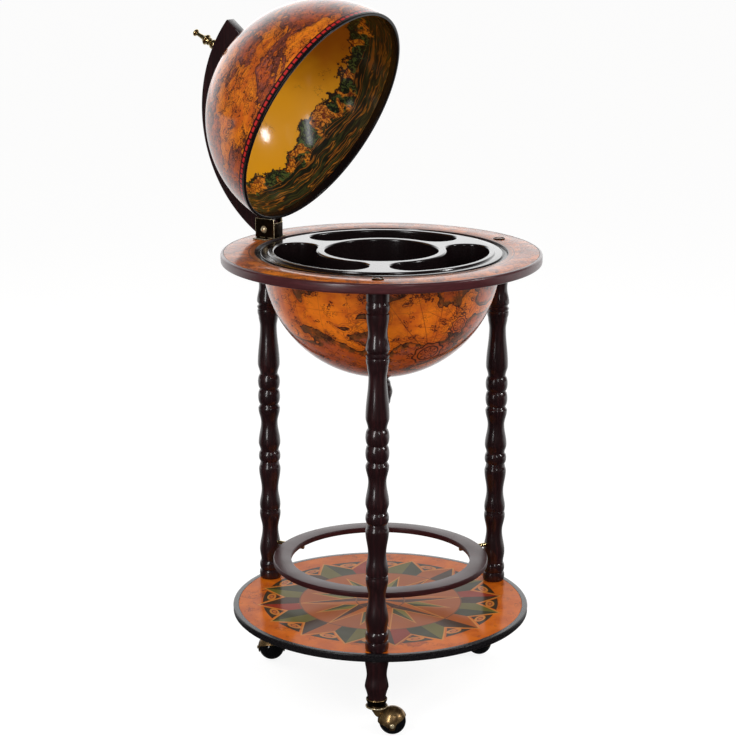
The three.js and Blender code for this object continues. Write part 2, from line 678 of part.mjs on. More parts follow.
function bottleRing() {
  const top = BOTTLE_RING_HEIGHT + BOTTLE_RING_THICKNESS;
  return turned([
    [BOTTLE_RING_INNER_RADIUS, BOTTLE_RING_HEIGHT],
    [BOTTLE_RING_OUTER_RADIUS, BOTTLE_RING_HEIGHT],
    [BOTTLE_RING_OUTER_RADIUS, top - BOTTLE_RING_CHAMFER],
    [BOTTLE_RING_OUTER_RADIUS - BOTTLE_RING_CHAMFER, top],
    [BOTTLE_RING_INNER_RADIUS, top],
  ], LARGE_FACETS);
}

function shelf() {
  const holes = legAzimuths.map((azimuth) => onLegCircle(rod(STUD_RADIUS + BOLT_CLEARANCE,
    -SHELF_THICKNESS - CUT_OVERRUN, CUT_OVERRUN, SMALL_FACETS), azimuth));
  return cut(rod(SHELF_RADIUS, -SHELF_THICKNESS, 0, LARGE_FACETS), holes);
}

// Edge moulding round the shelf, flush with its top, rounded above and chamfered below
function shelfEdge() {
  const inner = SHELF_RADIUS + SEAT_GAP;
  const roundCentre = SHELF_EDGE_RADIUS - SHELF_EDGE_ROUNDING;
  return turned([
    [inner, -SHELF_THICKNESS],
    [SHELF_EDGE_RADIUS - SHELF_EDGE_CHAMFER, -SHELF_THICKNESS],
    [SHELF_EDGE_RADIUS, -SHELF_THICKNESS + SHELF_EDGE_CHAMFER],
    ...arcPoints(roundCentre, -SHELF_EDGE_ROUNDING, SHELF_EDGE_ROUNDING, 0, QUARTER_TURN, 3),
    [inner, 0],
  ], LARGE_FACETS);
}

// Turned foot below the shelf, with bores for the stud and for the caster's stem
function foot() {
  const outline = FOOT_PROFILE_SHARES.map(([height, radius]) => [
    radius * FOOT_RADIUS,
    FOOT_TOP - height * FOOT_HEIGHT,
  ]);
  const bottom = FOOT_TOP - FOOT_HEIGHT;
  return turned([
    [0, FOOT_TOP - FOOT_STUD_BORE_DEPTH],
    [LEG_BORE_RADIUS, FOOT_TOP - FOOT_STUD_BORE_DEPTH],
    [LEG_BORE_RADIUS, FOOT_TOP],
    ...outline,
    [FOOT_STEM_BORE_RADIUS, bottom],
    [FOOT_STEM_BORE_RADIUS, bottom + FOOT_STEM_BORE_DEPTH],
    [0, bottom + FOOT_STEM_BORE_DEPTH],
  ], TURNED_FACETS);
}

// Caster cup round the foot's end, with its stem above and its pivot bore below
function casterCup() {
  const footRadius = FOOT_PROFILE_SHARES[FOOT_PROFILE_SHARES.length - 1][1] * FOOT_RADIUS;
  return turned([
    [0, CUP_BOTTOM + CUP_PIVOT_BORE_DEPTH],
    [CUP_PIVOT_BORE_RADIUS, CUP_BOTTOM + CUP_PIVOT_BORE_DEPTH],
    [CUP_PIVOT_BORE_RADIUS, CUP_BOTTOM],
    [CUP_RIM_RADIUS - CUP_BASE_HEIGHT, CUP_BOTTOM],
    [CUP_BASE_RADIUS, CUP_BOTTOM + CUP_BASE_HEIGHT / 2],
    [CUP_BASE_RADIUS, CUP_BOTTOM + CUP_BASE_HEIGHT],
    [CUP_RIM_RADIUS - CUP_BASE_HEIGHT / 2, CUP_BOTTOM + CUP_BASE_HEIGHT + CUP_RIM_HEIGHT / 2],
    [CUP_RIM_RADIUS, CUP_FLOOR_TOP],
    [CUP_RIM_RADIUS, CUP_FLOOR_TOP + CUP_RIM_HEIGHT],
    [footRadius + 2 * BOLT_CLEARANCE, CUP_FLOOR_TOP + CUP_RIM_HEIGHT],
    [footRadius + 2 * BOLT_CLEARANCE, CUP_FLOOR_TOP],
    [CUP_STEM_RADIUS, CUP_FLOOR_TOP],
    [CUP_STEM_RADIUS, CUP_FLOOR_TOP + CUP_STEM_LENGTH],
    [0, CUP_FLOOR_TOP + CUP_STEM_LENGTH],
  ], TURNED_FACETS);
}

// Ball of the hood's shape, about the ball's centre
function hoodBall(radius) {
  return new THREE.SphereGeometry(radius, HOOD_FACETS, HOOD_RINGS)
    .rotateX(Math.PI / 2)
    .scale(1, 1, HOOD_CROWN_STRETCH_SHARE);
}

// Swivelling horn: pivot pin, boss, hood over the ball and two ears down to the axle. It is made
// about the ball's centre, with the swivel axis behind it on the -X side and the axle along Y.
function casterHorn() {
  const reach = HOOD_INNER_RADIUS + HOOD_WALL;
  const span = 2 * (reach + CUT_OVERRUN);
  const above = box(2 * span, 2 * span, span, 0, 0, HOOD_EDGE_RISE + span / 2)
    .rotateY(-radians(HOOD_EDGE_TILT));
  const ears = new THREE.ExtrudeGeometry(shapeOf([
    [-HOOD_EAR_BOTTOM_WIDTH / 2, -HOOD_EAR_DROP],
    [HOOD_EAR_BOTTOM_WIDTH / 2, -HOOD_EAR_DROP],
    [HOOD_EAR_TOP_WIDTH / 2, HOOD_EDGE_RISE + CUT_OVERRUN],
    [-HOOD_EAR_TOP_WIDTH / 2, HOOD_EDGE_RISE + CUT_OVERRUN],
  ]), { depth: span, bevelEnabled: false }).rotateX(Math.PI / 2).translate(0, span / 2, 0);
  const kept = toSolid(above).add(toSolid(ears));
  const hollow = toSolid(hoodBall(HOOD_INNER_RADIUS));
  const hood = toSolid(hoodBall(reach)).intersect(kept);
  const bossTop = BALL_CENTRE_DROP - SEAT_GAP;
  const boss = rod(HORN_BOSS_RADIUS, bossTop - HORN_BOSS_HEIGHT, bossTop, TURNED_FACETS);
  const pivot = rod(HORN_PIVOT_RADIUS, bossTop - CUT_OVERRUN, bossTop + HORN_PIVOT_LENGTH, TURNED_FACETS);
  const axleHole = rod(AXLE_HOLE_RADIUS, -span, span, SMALL_FACETS).rotateX(Math.PI / 2);
  const cupSpace = rod(CUP_BASE_RADIUS + BOLT_CLEARANCE, bossTop, bossTop + span, TURNED_FACETS);
  return toGeometry(hood
    .subtract(toSolid(cupSpace.translate(-CASTER_TRAIL, 0, 0)))
    .add(toSolid(boss.translate(-CASTER_TRAIL, 0, 0)))
    .subtract(hollow)
    .subtract(toSolid(axleHole))
    .add(toSolid(pivot.translate(-CASTER_TRAIL, 0, 0))));
}

// Axle pin along Y with a rivet head outside each ear
function casterAxle() {
  const seat = HOOD_INNER_RADIUS + HOOD_WALL + SEAT_GAP;
  const profile = [
    [0, -seat - AXLE_HEAD_HEIGHT],
    [AXLE_HEAD_RADIUS, -seat],
    [AXLE_RADIUS, -seat],
    [AXLE_RADIUS, seat],
    [AXLE_HEAD_RADIUS, seat],
    [0, seat + AXLE_HEAD_HEIGHT],
  ];
  return turned(profile, SMALL_FACETS).rotateX(Math.PI / 2);
}

// Ball with a bore for its axle along Y
function casterBall() {
  const faceAngle = THREE.MathUtils.radToDeg(Math.acos(BALL_BORE_RADIUS / BALL_RADIUS));
  const outside = arcPoints(0, 0, BALL_RADIUS, -faceAngle, faceAngle, BALL_ARC_STEPS);
  return turned(outside, BALL_FACETS).rotateX(Math.PI / 2);
}

// A caster under a leg: the cup is fixed, the horn trails at its azimuth and holds axle and ball
function caster(name, legAzimuth, trailAzimuth) {
  const group = new THREE.Group();
  const angle = radians(legAzimuth);
  group.position.set(LEG_CIRCLE_RADIUS * Math.cos(angle), LEG_CIRCLE_RADIUS * Math.sin(angle), 0);
  group.add(piece(`caster_cup_${name}`, casterCup(), brass));
  const swivel = new THREE.Group();
  swivel.rotation.z = radians(trailAzimuth);
  const fork = new THREE.Group();
  fork.position.set(CASTER_TRAIL, 0, CUP_BOTTOM - BALL_CENTRE_DROP);
  fork.add(
    piece(`caster_horn_${name}`, casterHorn(), brass),
    piece(`caster_axle_${name}`, casterAxle(), steel),
    piece(`caster_ball_${name}`, casterBall(), ballPlastic),
  );
  swivel.add(fork);
  group.add(swivel);
  return group;
}

// Screws of the bracket's ears: their places in X and Y
function bracketScrewPlaces() {
  const x = ARM_THICKNESS / 2 + BRACKET_CHEEK_GAP + BRACKET_SHEET + BRACKET_EAR_LENGTH / 2;
  const y = BRACKET_SCREW_SPACING / 2;
  const middle = HINGE_RADIUS + (BRACKET_OUTER_REACH - BRACKET_INNER_REACH) / 2;
  return [[x, middle + y], [x, middle - y], [-x, middle + y], [-x, middle - y]];
}

// Folded bracket on the table over the hinge leg
function hingeBracket() {
  const base = TABLE_TOP_HEIGHT + SEAT_GAP;
  const length = BRACKET_INNER_REACH + BRACKET_OUTER_REACH;
  const middle = HINGE_RADIUS + (BRACKET_OUTER_REACH - BRACKET_INNER_REACH) / 2;
  const cheekX = ARM_THICKNESS / 2 + BRACKET_CHEEK_GAP + BRACKET_SHEET / 2;
  const earX = cheekX + BRACKET_EAR_LENGTH / 2;
  const webWidth = 2 * cheekX;
  const webY = HINGE_RADIUS - BRACKET_INNER_REACH + BRACKET_SHEET / 2;
  const plates = [
    box(webWidth, BRACKET_SHEET, BRACKET_WEB_HEIGHT, 0, webY, base + BRACKET_WEB_HEIGHT / 2),
    box(webWidth, length, BRACKET_SHEET, 0, middle, base + BRACKET_SHEET / 2),
  ];
  for (const side of [-1, 1]) {
    plates.push(box(BRACKET_SHEET, length, BRACKET_CHEEK_HEIGHT, side * cheekX, middle,
      base + BRACKET_CHEEK_HEIGHT / 2));
    plates.push(box(BRACKET_EAR_LENGTH + BRACKET_SHEET, BRACKET_EAR_WIDTH, BRACKET_SHEET, side * earX, middle,
      base + BRACKET_SHEET / 2));
  }
  const boltHole = rod(HINGE_BOLT_RADIUS + BOLT_CLEARANCE, -webWidth, webWidth, SMALL_FACETS)
    .rotateY(Math.PI / 2)
    .translate(0, HINGE_RADIUS, HINGE_Z);
  const screwHoles = bracketScrewPlaces().map(([x, y]) => rod(BRACKET_SCREW_RADIUS + SEAT_GAP,
    base - CUT_OVERRUN, base + BRACKET_SHEET + CUT_OVERRUN, SMALL_FACETS).translate(x, y, 0));
  return cut(join(plates), [boltHole, ...screwHoles]);
}

function bracketScrews() {
  const seat = TABLE_TOP_HEIGHT + SEAT_GAP + BRACKET_SHEET + SEAT_GAP;
  return bracketScrewPlaces().map(([x, y], i) => piece(`bracket_screw_${i + 1}`,
    screw(BRACKET_SCREW_RADIUS, BRACKET_SCREW_LENGTH, BRACKET_SCREW_HEAD_RADIUS, BRACKET_SCREW_HEAD_HEIGHT)
      .translate(x, y, seat), brass));
}

// Bolt along X, head on the -X side, and its nut on the +X side
function hingeBolt() {
  const cheekFace = ARM_THICKNESS / 2 + BRACKET_CHEEK_GAP + BRACKET_SHEET + SEAT_GAP;
  const tip = cheekFace + HINGE_NUT_HEIGHT + HINGE_BOLT_TIP;
  return turned([
    [0, -cheekFace - HINGE_BOLT_HEAD_HEIGHT],
    [HINGE_BOLT_HEAD_RADIUS / 2, -cheekFace - HINGE_BOLT_HEAD_HEIGHT],
    [HINGE_BOLT_HEAD_RADIUS, -cheekFace - HINGE_BOLT_HEAD_HEIGHT / 3],
    [HINGE_BOLT_HEAD_RADIUS, -cheekFace],
    [HINGE_BOLT_RADIUS, -cheekFace],
    [HINGE_BOLT_RADIUS, tip],
    [0, tip],
  ], SMALL_FACETS).rotateY(Math.PI / 2).translate(0, HINGE_RADIUS, HINGE_Z);
}

function hingeNut() {
  const face = ARM_THICKNESS / 2 + BRACKET_CHEEK_GAP + BRACKET_SHEET + SEAT_GAP;
  const bore = HINGE_BOLT_RADIUS + SEAT_GAP;
  return cut(rod(HINGE_NUT_RADIUS, face, face + HINGE_NUT_HEIGHT, NUT_SIDES),
    [rod(bore, face - CUT_OVERRUN, face + HINGE_NUT_HEIGHT + CUT_OVERRUN, SMALL_FACETS)])
    .rotateY(Math.PI / 2)
    .translate(0, HINGE_RADIUS, HINGE_Z);
}

// Angle in degrees, from the globe's centre, at which a circle of the arm reaches a height
function angleAtHeight(radius, height) {
  return THREE.MathUtils.radToDeg(Math.asin(height / radius));
}

// Arm's outline in the plane of its board, closed lid, as [out from the globe's axis, up from the
// hinge]. The foot is round about the hinge, with a heel that lies level when the lid is open.
function armOutline() {
  const footRadius = HINGE_HEIGHT - SEAT_GAP - BRACKET_SHEET - HINGE_FOOT_GAP;
  const throatRadius = BRACKET_INNER_REACH - BRACKET_SHEET - SEAT_GAP;
  const heelAngle = LID_OPEN_ANGLE - QUARTER_TURN;
  const heelNormal = [Math.cos(radians(heelAngle)), Math.sin(radians(heelAngle))];
  const heelAlong = [-heelNormal[1], heelNormal[0]];
  const centre = [-HINGE_RADIUS, -HINGE_HEIGHT];
  const start = [footRadius * heelNormal[0] - centre[0], footRadius * heelNormal[1] - centre[1]];
  const along = start[0] * heelAlong[0] + start[1] * heelAlong[1];
  const excess = start[0] ** 2 + start[1] ** 2 - ARM_OUTER_RADIUS ** 2;
  const reach = -along + Math.sqrt(along ** 2 - excess);
  const heelEnd = [start[0] + reach * heelAlong[0], start[1] + reach * heelAlong[1]];
  const outerFrom = THREE.MathUtils.radToDeg(Math.atan2(heelEnd[1], heelEnd[0]));
  const topAngle = QUARTER_TURN + ARM_TOP_OVERHANG_ANGLE;
  const innerEnd = angleAtHeight(ARM_INNER_RADIUS, HINGE_HEIGHT + ARM_THROAT_BLEND);
  const throatTurn = THREE.MathUtils.radToDeg(Math.asin(footRadius / throatRadius));
  return [
    ...arcPoints(0, 0, footRadius, -QUARTER_TURN, heelAngle, ARM_FOOT_ARC_STEPS),
    ...arcPoints(centre[0], centre[1], ARM_OUTER_RADIUS, outerFrom, topAngle, ARM_ARC_STEPS),
    ...arcPoints(centre[0], centre[1], ARM_INNER_RADIUS, topAngle, innerEnd, ARM_ARC_STEPS),
    [-throatRadius, ARM_THROAT_RISE],
    ...arcPoints(0, 0, throatRadius, HALF_TURN, HALF_TURN + throatTurn, ARM_FOOT_ARC_STEPS),
  ];
}

// Arm about the hinge, closed lid, board in the YZ plane, with its bolt hole and pole hole
function arm() {
  const board = new THREE.ExtrudeGeometry(shapeOf(armOutline()), { depth: ARM_THICKNESS, bevelEnabled: false })
    .translate(0, 0, -ARM_THICKNESS / 2)
    .rotateX(Math.PI / 2)
    .rotateZ(Math.PI / 2);
  const boltHole = rod(HINGE_BOLT_RADIUS + BOLT_CLEARANCE, -ARM_THICKNESS, ARM_THICKNESS, SMALL_FACETS)
    .rotateY(Math.PI / 2);
  const poleHole = rod(ARM_POLE_HOLE_RADIUS, ARM_INNER_RADIUS - ARM_THICKNESS, ARM_OUTER_RADIUS + ARM_THICKNESS,
    SMALL_FACETS).translate(0, -HINGE_RADIUS, -HINGE_HEIGHT);
  return cut(board, [boltHole, poleHole]);
}

// Finial with the rod that runs through arm, spacer and lid, about the globe's centre
function finial() {
  const base = ARM_OUTER_RADIUS + FINIAL_WASHER_THICKNESS + 2 * SEAT_GAP;
  const rodEnd = GLOBE_RADIUS - GLOBE_WALL - POLE_WASHER_THICKNESS - POLE_NUT_HEIGHT - HINGE_BOLT_TIP;
  const outline = FINIAL_PROFILE_SHARES.map(([height, radius]) => [
    radius * FINIAL_RADIUS,
    base + height * FINIAL_HEIGHT,
  ]);
  return turned([
    [0, rodEnd],
    [FINIAL_ROD_RADIUS, rodEnd],
    [FINIAL_ROD_RADIUS, base],
    ...outline,
    [0, base + FINIAL_HEIGHT],
  ], TURNED_FACETS);
}

// A ring about Z between two heights
function collar(bore, radius, bottom, top, facets) {
  return turned([[bore, bottom], [radius, bottom], [radius, top], [bore, top]], facets);
}

function finialWasher() {
  const seat = ARM_OUTER_RADIUS + SEAT_GAP;
  return collar(FINIAL_ROD_RADIUS + SEAT_GAP, FINIAL_WASHER_RADIUS, seat, seat + FINIAL_WASHER_THICKNESS,
    TURNED_FACETS);
}

// Spacer between the lid and the arm, clear of the arm's faceted inner edge
function poleSpacer() {
  const halfStep = Math.PI / 4 / ARM_ARC_STEPS;
  const top = ARM_INNER_RADIUS * Math.cos(halfStep) - SEAT_GAP;
  return collar(FINIAL_ROD_RADIUS + SEAT_GAP, POLE_SPACER_RADIUS, GLOBE_RADIUS + SEAT_GAP, top, TURNED_FACETS);
}

function poleWasher() {
  const top = insideGlobe(POLE_WASHER_RADIUS) - SEAT_GAP;
  return collar(FINIAL_ROD_RADIUS + SEAT_GAP, POLE_WASHER_RADIUS, top - POLE_WASHER_THICKNESS, top,
    TURNED_FACETS);
}

function poleNut() {
  const top = insideGlobe(POLE_WASHER_RADIUS) - POLE_WASHER_THICKNESS - 2 * SEAT_GAP;
  const nut = rod(POLE_NUT_RADIUS, top - POLE_NUT_HEIGHT, top, NUT_SIDES);
  const bore = rod(FINIAL_ROD_RADIUS + SEAT_GAP, top - POLE_NUT_HEIGHT - CUT_OVERRUN, top + CUT_OVERRUN,
    TURNED_FACETS);
  return cut(nut, [bore]);
}

// Upper half of the globe, about the globe's centre
function lidShell() {
  return globeWall(LID_POLE_HOLE_RADIUS, TABLE_TOP_HEIGHT - SHELL_CLOSED).rotateX(Math.PI);
}

// Lip ring below the lid's edge, with a skirt inside its wall
function lidLip() {
  const bottom = LIP_CLOSED - TABLE_TOP_HEIGHT;
  const shoulder = bottom + LID_LIP_HEIGHT;
  const top = shoulder + LID_LIP_SKIRT_HEIGHT;
  const skirtRadius = freeInsideGlobe(top);
  return turned([
    [LID_LIP_INNER_RADIUS, bottom],
    [GLOBE_RADIUS, bottom],
    [GLOBE_RADIUS, shoulder],
    [skirtRadius, shoulder],
    [skirtRadius, top],
    [LID_LIP_INNER_RADIUS, top],
  ], GLOBE_FACETS);
}

// Lid, arm and finial, made closed and tilted back about the hinge
function lidAssembly() {
  const hinge = new THREE.Group();
  hinge.position.set(0, HINGE_RADIUS, HINGE_Z);
  hinge.rotation.x = -radians(LID_OPEN_ANGLE);
  const globe = new THREE.Group();
  globe.position.set(0, -HINGE_RADIUS, -HINGE_HEIGHT);
  globe.add(
    piece("lid_shell", lidShell(), map),
    piece("lid_lip", lidLip(), blackEdge),
    piece("finial", finial(), brass),
    piece("finial_washer", finialWasher(), brass),
    piece("pole_spacer", poleSpacer(), brass),
    piece("pole_washer", poleWasher(), steel),
    piece("pole_nut", poleNut(), steel),
  );
  hinge.add(piece("lid_arm", arm(), mahogany), globe);
  return hinge;
}

const bar = new THREE.Group();
bar.name = "floor_globe_bar";
bar.add(
  piece("table_board", tableBoard(), map),
  piece("table_edge", tableEdge(), mahogany),
  piece("bowl", bowl(), map),
  piece("bowl_rim", bowlRim(), mahogany),
  piece("tray", tray(), trayPlastic),
  piece("bowl_drop", bowlDrop(), mahogany),
  piece("bowl_drop_screw", bowlDropScrew(), steel),
  piece("bottle_ring", bottleRing(), mahogany),
  piece("shelf", shelf(), map),
  piece("shelf_edge", shelfEdge(), blackEdge),
  piece("hinge_bracket", hingeBracket(), brass),
  piece("hinge_bolt", hingeBolt(), brass),
  piece("hinge_nut", hingeNut(), brass),
  ...bracketScrews(),
  lidAssembly(),
);

legAzimuths.forEach((azimuth, i) => {
  const name = legNames[i];
  const stud = rod(STUD_RADIUS, FOOT_TOP - STUD_FOOT_REACH, STUD_LEG_REACH, SMALL_FACETS);
  const pin = ringPinBar(RING_PIN_RADIUS, RING_PIN_INNER_END, RING_PIN_OUTER_END, azimuth);
  bar.add(
    piece(`leg_${name}`, leg(azimuth), mahogany),
    piece(`leg_screw_${name}`, onLegCircle(legScrew(), azimuth), steel),
    piece(`foot_${name}`, onLegCircle(foot(), azimuth), mahogany),
    piece(`leg_stud_${name}`, onLegCircle(stud, azimuth), steel),
    piece(`ring_pin_${name}`, pin, steel),
    caster(name, azimuth, CASTER_AZIMUTHS[i]),
  );
  if (azimuth !== HINGE_LEG_AZIMUTH) {
    bar.add(piece(`screw_cap_${name}`, onLegCircle(screwCap(), azimuth), brass));
  }
});

export default bar;
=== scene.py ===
"""Looks of a floor globe bar: table, bowl, tilting lid, turned legs, shelf and ball casters."""

import sys

import logging
import math
from collections.abc import Callable, Iterator, Sequence
from contextlib import contextmanager
from dataclasses import dataclass, field
from enum import Enum
from functools import cached_property, reduce

import bmesh
import bpy
from mathutils import Matrix, Vector


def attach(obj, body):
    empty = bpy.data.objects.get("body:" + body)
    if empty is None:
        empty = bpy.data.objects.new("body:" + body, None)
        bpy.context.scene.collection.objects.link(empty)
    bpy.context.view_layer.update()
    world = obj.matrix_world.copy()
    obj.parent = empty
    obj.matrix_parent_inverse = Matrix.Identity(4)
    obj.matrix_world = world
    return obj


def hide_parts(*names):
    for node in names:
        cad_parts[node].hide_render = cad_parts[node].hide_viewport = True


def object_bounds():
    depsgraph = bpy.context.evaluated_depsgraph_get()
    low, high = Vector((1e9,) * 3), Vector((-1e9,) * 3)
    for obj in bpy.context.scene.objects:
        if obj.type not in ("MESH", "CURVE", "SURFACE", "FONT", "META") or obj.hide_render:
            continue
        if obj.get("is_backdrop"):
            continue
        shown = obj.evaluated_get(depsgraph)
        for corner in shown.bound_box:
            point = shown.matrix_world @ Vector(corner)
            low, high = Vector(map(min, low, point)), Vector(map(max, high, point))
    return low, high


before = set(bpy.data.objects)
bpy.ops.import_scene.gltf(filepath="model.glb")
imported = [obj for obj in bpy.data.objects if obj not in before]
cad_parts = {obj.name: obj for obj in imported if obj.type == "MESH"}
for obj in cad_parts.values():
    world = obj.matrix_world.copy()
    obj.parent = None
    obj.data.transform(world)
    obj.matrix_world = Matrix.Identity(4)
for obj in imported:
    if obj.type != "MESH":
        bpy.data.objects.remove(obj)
CAD_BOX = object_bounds()

log = logging.getLogger("globe_bar")

Material = bpy.types.Material
Piece = bpy.types.Object
Socket = bpy.types.NodeSocket
Outline = list[tuple[float, float]]
Test = Callable[[Vector, Vector], bool]

UP = Vector((0.0, 0.0, 1.0))

# Lengths in millimetres and angles in degrees that several pieces share.
MM = 0.001
HINGE = Vector((0.0, 192.5, 534.5))
OPEN_ANGLE = 63.8
LID_CENTRE = Vector((0.0, 95.397, 701.262))
GLOBE_RADIUS = 167.0
DOME_RADIUS = 164.0
BOWL_CENTRE = 510.0
TABLE_TOP = 521.0
SEAT = 0.3
CHEEK_GAP = 0.35
BORE_GAP = 0.4
LEG_CIRCLE = 194.0
WELD = 0.004
SHARP = 35.0
LEG_AZIMUTHS = {"hinge_side": 90.0, "left": 210.0, "right": 330.0}


class Pick(Enum):
    """What a selection in edit mode picks."""

    POINTS = "VERT"
    EDGES = "EDGE"
    FACES = "FACE"


class Cut(Enum):
    """How a turned profile runs from the row before to its own row."""

    LINE = "straight"
    EASE = "cove that is level at both ends"
    BEAD = "bulge between the two rows"
    ROUND = "quarter round that ends steep"


@dataclass(frozen=True)
class Row:
    """One row of a turned profile: a height and a radius in millimetres."""

    height: float
    radius: float
    cut: Cut = Cut.EASE
    crown: float = 0.0


# Modelling


def arc(centre: tuple[float, float], radius: float, start: float, end: float, steps: int) -> Outline:
    """Give points on an arc in a plane.

    Args:
        centre: the arc's centre.
        radius: its radius.
        start: angle of the first point in degrees.
        end: angle of the last point in degrees.
        steps: number of chords.

    Returns:
        The points, from start to end.
    """
    turns = [math.radians(start + (end - start) * i / steps) for i in range(steps + 1)]
    return [(centre[0] + radius * math.cos(a), centre[1] + radius * math.sin(a)) for a in turns]


def profile(rows: Sequence[Row], step: float = 2.2) -> Outline:
    """Turn the rows of a turning into an outline.

    Args:
        rows: the rows, from the bottom up.
        step: rough height of one ring in a cove.

    Returns:
        Pairs of radius and height.
    """
    outline = [(rows[0].radius, rows[0].height)]
    for last, row in zip(rows, rows[1:]):
        span = row.height - last.height
        count = 1 if row.cut is Cut.LINE else max(6, math.ceil(abs(span) / step))
        for i in range(1, count + 1):
            share = i / count
            radius = last.radius + (row.radius - last.radius) * share
            if row.cut is Cut.EASE:
                radius = last.radius + (row.radius - last.radius) * (1 - math.cos(math.pi * share)) / 2
            elif row.cut is Cut.ROUND:
                radius = row.radius + (last.radius - row.radius) * math.cos(math.pi * share / 2)
            elif row.cut is Cut.BEAD:
                crown = row.crown - (last.radius + row.radius) / 2
                radius += crown * math.sin(math.pi * share) ** 0.6
            outline.append((radius, last.height + span * share))
    return outline


def clear_selection() -> None:
    """Leave every object unselected."""
    bpy.ops.object.select_all(action="DESELECT")


def take(piece: Piece) -> None:
    """Make a piece the only selected and the active one."""
    clear_selection()
    piece.select_set(True)
    bpy.context.view_layer.objects.active = piece


def discard(*pieces: Piece) -> None:
    """Delete pieces that have served."""
    for piece in pieces:
        take(piece)
        bpy.ops.object.delete()


def named(name: str) -> Piece:
    """Name the primitive that was just added, with its place in its mesh."""
    piece = bpy.context.object
    piece.name = name
    piece.data.name = name
    bpy.ops.object.transform_apply(location=True, rotation=True, scale=True)
    return piece


@contextmanager
def edit(piece: Piece, pick: Pick = Pick.POINTS) -> Iterator[None]:
    """Hold a piece in edit mode with all of it selected."""
    take(piece)
    bpy.ops.object.mode_set(mode="EDIT")
    bpy.ops.mesh.select_mode(type=pick.value)
    bpy.ops.mesh.select_all(action="SELECT")
    yield
    bpy.ops.object.mode_set(mode="OBJECT")


def pick_where(piece: Piece, pick: Pick, test: Test, rim: bool = False) -> None:
    """Select the parts of a mesh in edit mode that pass a test.

    Args:
        piece: the piece in edit mode.
        pick: what is selected.
        test: gets the middle point and the normal, and says whether to select.
        rim: select only open edges.
    """
    bpy.ops.mesh.select_mode(type=pick.value)
    bpy.ops.mesh.select_all(action="DESELECT")
    mesh = bmesh.from_edit_mesh(piece.data)
    groups = {Pick.POINTS: mesh.verts, Pick.EDGES: mesh.edges, Pick.FACES: mesh.faces}
    for part in groups[pick]:
        if pick is Pick.POINTS:
            place, normal = part.co, part.normal
        elif pick is Pick.EDGES:
            place, normal = (part.verts[0].co + part.verts[1].co) / 2, part.verts[0].normal
        else:
            place, normal = part.calc_center_median(), part.normal
        if test(place, normal) and not (rim and not part.is_boundary):
            part.select_set(True)
    mesh.select_flush_mode()
    bmesh.update_edit_mesh(piece.data)


def chain(name: str, points: Sequence[Vector]) -> Piece:
    """Draw a chain of edges: one corner of a small plane, extruded from point to point.

    Args:
        name: name of the new object.
        points: the places of its points, in millimetres.

    Returns:
        The object, out of edit mode.
    """
    clear_selection()
    bpy.ops.mesh.primitive_plane_add(size=2.0)
    piece = named(name)
    with edit(piece):
        pick_where(piece, Pick.POINTS, lambda place, _: place.x < 0 or place.y < 0)
        bpy.ops.mesh.delete(type="VERT")
        bpy.ops.mesh.select_all(action="SELECT")
        bpy.ops.transform.translate(value=points[0] - Vector((1.0, 1.0, 0.0)))
        for last, point in zip(points, points[1:]):
            bpy.ops.mesh.extrude_vertices_move(TRANSFORM_OT_translate={"value": point - last})
    return piece


def sweep(centre: Vector, axis: Vector, angle: float, steps: int) -> None:
    """Spin what is selected about an axis, anticlockwise by an angle in degrees."""
    bpy.ops.mesh.spin(steps=steps, angle=-math.radians(angle), center=centre, axis=axis)


def draw_out(way: Vector) -> None:
    """Extrude what is selected."""
    bpy.ops.mesh.extrude_region_move(TRANSFORM_OT_translate={"value": way})


def close_up() -> None:
    """Merge doubles over the whole mesh in edit mode and point its faces outwards."""
    bpy.ops.mesh.select_all(action="SELECT")
    bpy.ops.mesh.remove_doubles(threshold=WELD)
    bpy.ops.mesh.normals_make_consistent(inside=False)


def turn(name: str, outline: Outline, segments: int, closed: bool = True) -> Piece:
    """Turn a piece about Z.

    Args:
        name: name of the new object.
        outline: radius and height pairs that start and end on the axis, or go round a ring.
        segments: facets round the piece.
        closed: join a ring's last pair to its first.

    Returns:
        The turned piece.
    """
    rows = [*outline, outline[0]] if closed and outline[0][0] else outline
    piece = chain(name, [Vector((radius, 0.0, height)) for radius, height in rows])
    with edit(piece):
        sweep(Vector(), UP, 360.0, segments)
        close_up()
    return piece


def board(name: str, outline: Outline, start: Vector, depth: Vector) -> Piece:
    """Saw a board: draw its outline, fill it and extrude it.

    Args:
        name: name of the new object.
        outline: points across and up, where across is the level direction square to the depth.
        start: place of the outline's origin.
        depth: direction and thickness of the board.

    Returns:
        The board.
    """
    across = UP.cross(depth).normalized()
    piece = chain(name, [start + across * out + UP * up for out, up in [*outline, outline[0]]])
    with edit(piece):
        close_up()
        bpy.ops.mesh.edge_face_add()
        draw_out(depth)
        close_up()
    return piece


def modify(piece: Piece, kind: str, **settings: object) -> Piece:
    """Add a modifier and apply it.

    Args:
        piece: the piece to finish.
        kind: Blender's name of the modifier.
        settings: its settings.

    Returns:
        The same piece.
    """
    take(piece)
    modifier = piece.modifiers.new(kind.lower(), kind)
    for key, value in settings.items():
        setattr(modifier, key, value)
    bpy.ops.object.modifier_apply(modifier=modifier.name)
    return piece


def cut_by(piece: Piece, tool: Piece, keep: bool = False) -> Piece:
    """Cut one piece with another, which is used up.

    Args:
        piece: the piece to cut.
        tool: the piece that cuts.
        keep: keep what lies inside the tool, not what lies outside it.

    Returns:
        The cut piece.
    """
    modify(piece, "BOOLEAN", operation="INTERSECT" if keep else "DIFFERENCE", object=tool, solver="EXACT")
    discard(tool)
    return piece


